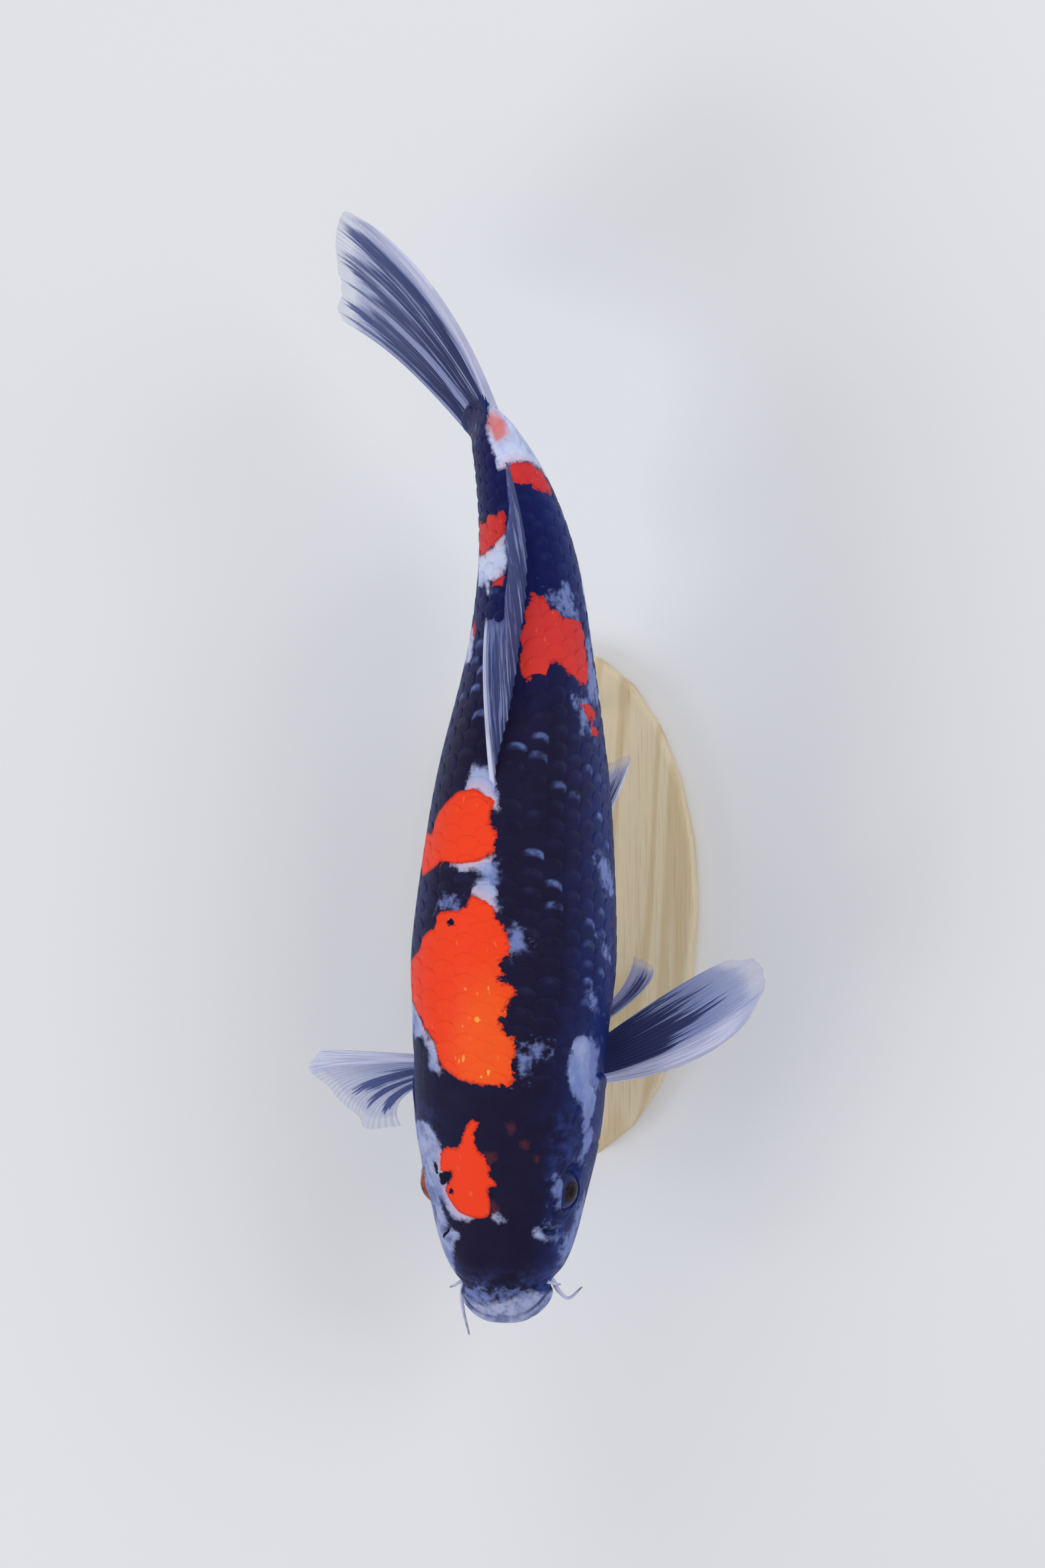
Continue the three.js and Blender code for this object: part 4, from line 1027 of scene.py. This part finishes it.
def makeEye(name, eye):
    bpy.ops.object.select_all(action="DESELECT")
    size = skin["eye"]["radius"]
    bpy.ops.mesh.primitive_uv_sphere_add(segments=64, ring_count=40, radius=size * mm)
    ball = bpy.context.object
    ball.name = name
    centre, axis = eyeFrame(eye["side"])[:2]
    turn = Vector((0, 0, 1)).rotation_difference(Vector(axis)).to_matrix().to_4x4()
    ball.data.transform(Matrix.Translation(Vector(centre) * mm) @ turn)
    unit = np.array([v.co for v in ball.data.vertices]) / mm - centre
    unit /= np.linalg.norm(unit, axis=1, keepdims=True)
    angle = np.degrees(np.arccos(np.clip(unit @ axis, -1, 1)))
    radius = size + eyes["bulge"] * softStep(52, 20, angle)  # the cornea stands out a little
    ball.data.vertices.foreach_set("co", ((unit * radius[:, None] + centre) * mm).ravel())
    layer = ball.data.attributes.new("angleField", "FLOAT", "POINT")
    layer.data.foreach_set("value", angle.astype(np.float32))
    bpy.ops.object.shade_smooth()
    ball.data.materials.append(eyeMaterial(eye))
    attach(ball, "root")
    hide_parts(eye["node"])


for name in ("eyeLeft", "eyeRight"):
    makeEye(name, eyes[name])
print("eyes made")

# barbels
barbels = {  # place along, degrees round, reach tailward, leftward and upward from there, radius, and node
    "barbelCornerLeft": (12, -8, [(-5, 3, -1), (-8, 7, -2), (-3, 13, -2)], 1.45, "barbel_corner_left"),
    "barbelCornerRight": (11, 188, [(-6, -2.5, -2), (-14, -2.5, -4), (-25, -0.5, -6)], 1.45,
                          "barbel_corner_right"),
    "barbelLipLeft": (12, 12, [(-0.5, 2, -0.5), (-1, 3.5, -2), (-1.5, 4.5, -4.5)], 1.0, "barbel_lip_left"),
    "barbelLipRight": (12, 165, [(-1, -2, 0), (-2, -3.5, -0.5), (-3, -6, -1)], 1.0, "barbel_lip_right"),
}
barbelMake = {
    "sunk": 3, "tip": 0.4, "around": 14, "along": 40, "rings": (0.05, 60), "end": (1.02, 14),
    "fields": ["along"], "noises": {"mottle": (1.5, 3, (0, 0, 0), (1, 1, 1))},
    "layers": {"barbel": ["#c8cbe6", ("#6a6f9c", {"start": -0.3, "along": 1, "mottle": 0.6}, (0.6, 1.15))]},
}


def barbelMaterial():
    # barbel: soft skin, pale at the root and grey at the tip
    material, tree = newMaterial("koiBarbelSkin")
    known = addPatterns(tree, barbelMake)
    finishMaterial(tree, {
        "Base Color": layCoats(tree, known, barbelMake["layers"]),
        "Roughness": 0.4, "IOR": 1.4, "Subsurface Weight": 0.1,
        "Subsurface Radius": (0.5 * mm, 0.3 * mm, 0.2 * mm), "Subsurface Scale": 1.0})
    return material


barbelSkin = barbelMaterial()


def smoothPath(stops, count):  # a curve through the stops
    stops = np.array(stops, float)
    gaps = np.concatenate([[0], np.cumsum(np.linalg.norm(np.diff(stops, axis=0), axis=1) ** 0.5)])
    u = np.linspace(0, gaps[-1], count)
    return np.stack([smoothThrough(list(zip(gaps, stops[:, k])))(u) for k in range(3)], -1)


def makeBarbel(name, s, angle, reach, radius, node):
    tail, left, up = frameAt(s)[1:]
    start, inward = surface(s, angle), surface(s, angle, -barbelMake["sunk"])
    path = smoothPath([inward, start] + [start + tail * t + left * l + up * u for t, l, u in reach],
                      barbelMake["along"] + 1)
    way = np.gradient(path, axis=0)
    way /= np.linalg.norm(way, axis=1, keepdims=True)
    side = np.cross(way, up)
    side /= np.linalg.norm(side, axis=1, keepdims=True)
    u = np.linspace(0, 1, len(path))
    stop, sharp = barbelMake["end"]
    r = (radius + (barbelMake["tip"] - radius) * u) * np.sqrt(np.clip((stop - u) * sharp, 0, 1))
    high, often = barbelMake["rings"]
    r = (r * (1 + high * np.sin(u * often)))[:, None, None]
    n = barbelMake["around"]
    turn = (np.arange(n) * 2 * np.pi / n)[None, :, None]
    rings = path[:, None] + r * (side[:, None] * np.cos(turn) + np.cross(way, side)[:, None] * np.sin(turn))
    faces = gridFaces(len(path), n, closed=True)[0]
    flat = np.concatenate([rings.reshape(-1, 3), [path[0]], [path[-1] + way[-1] * 0.1]])
    first, last, before = len(flat) - 2, len(flat) - 1, len(flat) - 2 - n
    fans = []
    for k in range(n):
        fans += [(first, (k + 1) % n, k), (last, before + k, before + (k + 1) % n)]
    makePiece(name, flat, faces.tolist() + fans, barbelSkin,
              {"alongField": np.append(np.repeat(u, n), [0, 1])}, None, [node])


for name, made in barbels.items():
    makeBarbel(name, *made)
print("barbels made")

# stand
wood = {
    "noises": {"figure": (60, 2, (0, 0, 0), (1, 0.12, 1)), "broad": (55, 2, (0, 0, 0), (1, 0.12, 1)),
               "pores": (0.9, 5, (0, 0, 0), (1, 0.03, 1))},
    "patterns": {"rings": ({"figure": 69.08},)},  # eleven growth lines to a turn of the figure
    "layers": {"ash": ["#dccbab", ("#cbb48b", {"lines": 1}, (-0.2, 1.0)),
                       ("#a98a62", {"pores": 1}, (0.5, 0.7), 0.4), ("#e9dcc2", {"broad": 0.35})]},
}
steelRod = {
    "noises": {"brush": (0.5, 3, (0, 0, 0), (1, 1, 0.03))},
    "layers": {"steel": ["#b9bcc0", ("#d2d4d6", {"brush": 1})]},
}


def woodMaterial():
    # pale ash, flat sawn, sanded and oiled: fine open pores along the length, and growth lines that wander
    material, tree = newMaterial("ashOiled")
    known = addPatterns(tree, wood)
    known["lines"] = addNode(tree, "Math", {0: known["rings"]}, operation="SINE")
    pores = known["pores"]
    finishMaterial(tree, {
        "Base Color": layCoats(tree, known, wood["layers"]), "IOR": 1.5,
        "Roughness": addNode(tree, "MapRange", {0: pores, 1: 0.3, 2: 0.7, 3: 0.5, 4: 0.64}),
        "Normal": addNode(tree, "Bump", {"Strength": 0.25, "Distance": 0.0002, "Height": pores})})
    return material


def steelMaterial():
    # stainless rod, brushed along its length: bright soft streaks, as coarse as they need to be to show
    material, tree = newMaterial("steelBrushed")
    known = addPatterns(tree, steelRod)
    finishMaterial(tree, {
        "Base Color": layCoats(tree, known, steelRod["layers"]), "Metallic": 1.0,
        "Roughness": addNode(tree, "MapRange", {0: known["brush"], 1: 0.3, 2: 0.7, 3: 0.24, 4: 0.38}),
        "Normal": addNode(tree, "Bump", {"Strength": 0.15, "Distance": 0.00005, "Height": known["brush"]})})
    return material


def dress(node, material):
    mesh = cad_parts[node].data
    mesh.materials.clear()
    mesh.materials.append(material)


ash, steel = woodMaterial(), steelMaterial()
dress("stand_base", ash)
for end in ("front", "rear"):
    for part in ("rod", "collar", "cradle"):
        dress(f"stand_{part}_{end}", steel)
print("stand dressed")

# floor and light
studio = {
    "floor": 4.0, "floorColour": "#e9ebf0", "world": 0.5, "seenWorld": 0.95, "aim": (0, 0.05, 0.1),
    "lamps": [((-1.2, -0.7, 1.3), 1.1, 9.5), ((1.2, 0.5, 1.3), 1.1, 8.5), ((-0.4, 1.6, 1.2), 1.2, 6.0)],
}


def makeStudio():
    bpy.ops.object.select_all(action="DESELECT")
    bpy.ops.mesh.primitive_plane_add(size=studio["floor"] * 2, location=(0, 0, -0.0004))
    floor = bpy.context.object
    floor.name = "floor"
    # matt paper, with no shine
    material, tree = newMaterial("floorPaper")
    finishMaterial(tree, {"Base Color": studio["floorColour"], "Roughness": 0.9})
    floor.data.materials.append(material)
    for n, (place, size, power) in enumerate(studio["lamps"]):
        bpy.ops.object.light_add(type="AREA", location=place)
        lamp = bpy.context.object
        lamp.name = f"softLamp{n}"
        lamp.data.shape = "DISK"
        lamp.data.size = size
        lamp.data.energy = power
        lamp.rotation_mode = "QUATERNION"
        lamp.rotation_quaternion = (Vector(studio["aim"]) - Vector(place)).to_track_quat("-Z", "Y")
    world = bpy.data.worlds.new("studioWorld")
    bpy.context.scene.world = world
    world.use_nodes = True
    tree = world.node_tree
    tree.nodes.clear()
    seen = addNode(tree, "LightPath", out="Is Camera Ray")
    level = addNode(tree, "MapRange", {0: seen, 3: studio["world"], 4: studio["seenWorld"]})
    sky = addNode(tree, "Background", {"Color": (1, 1, 1, 1), "Strength": level})
    addNode(tree, "OutputWorld", {"Surface": sky})


makeStudio()
print("studio made")
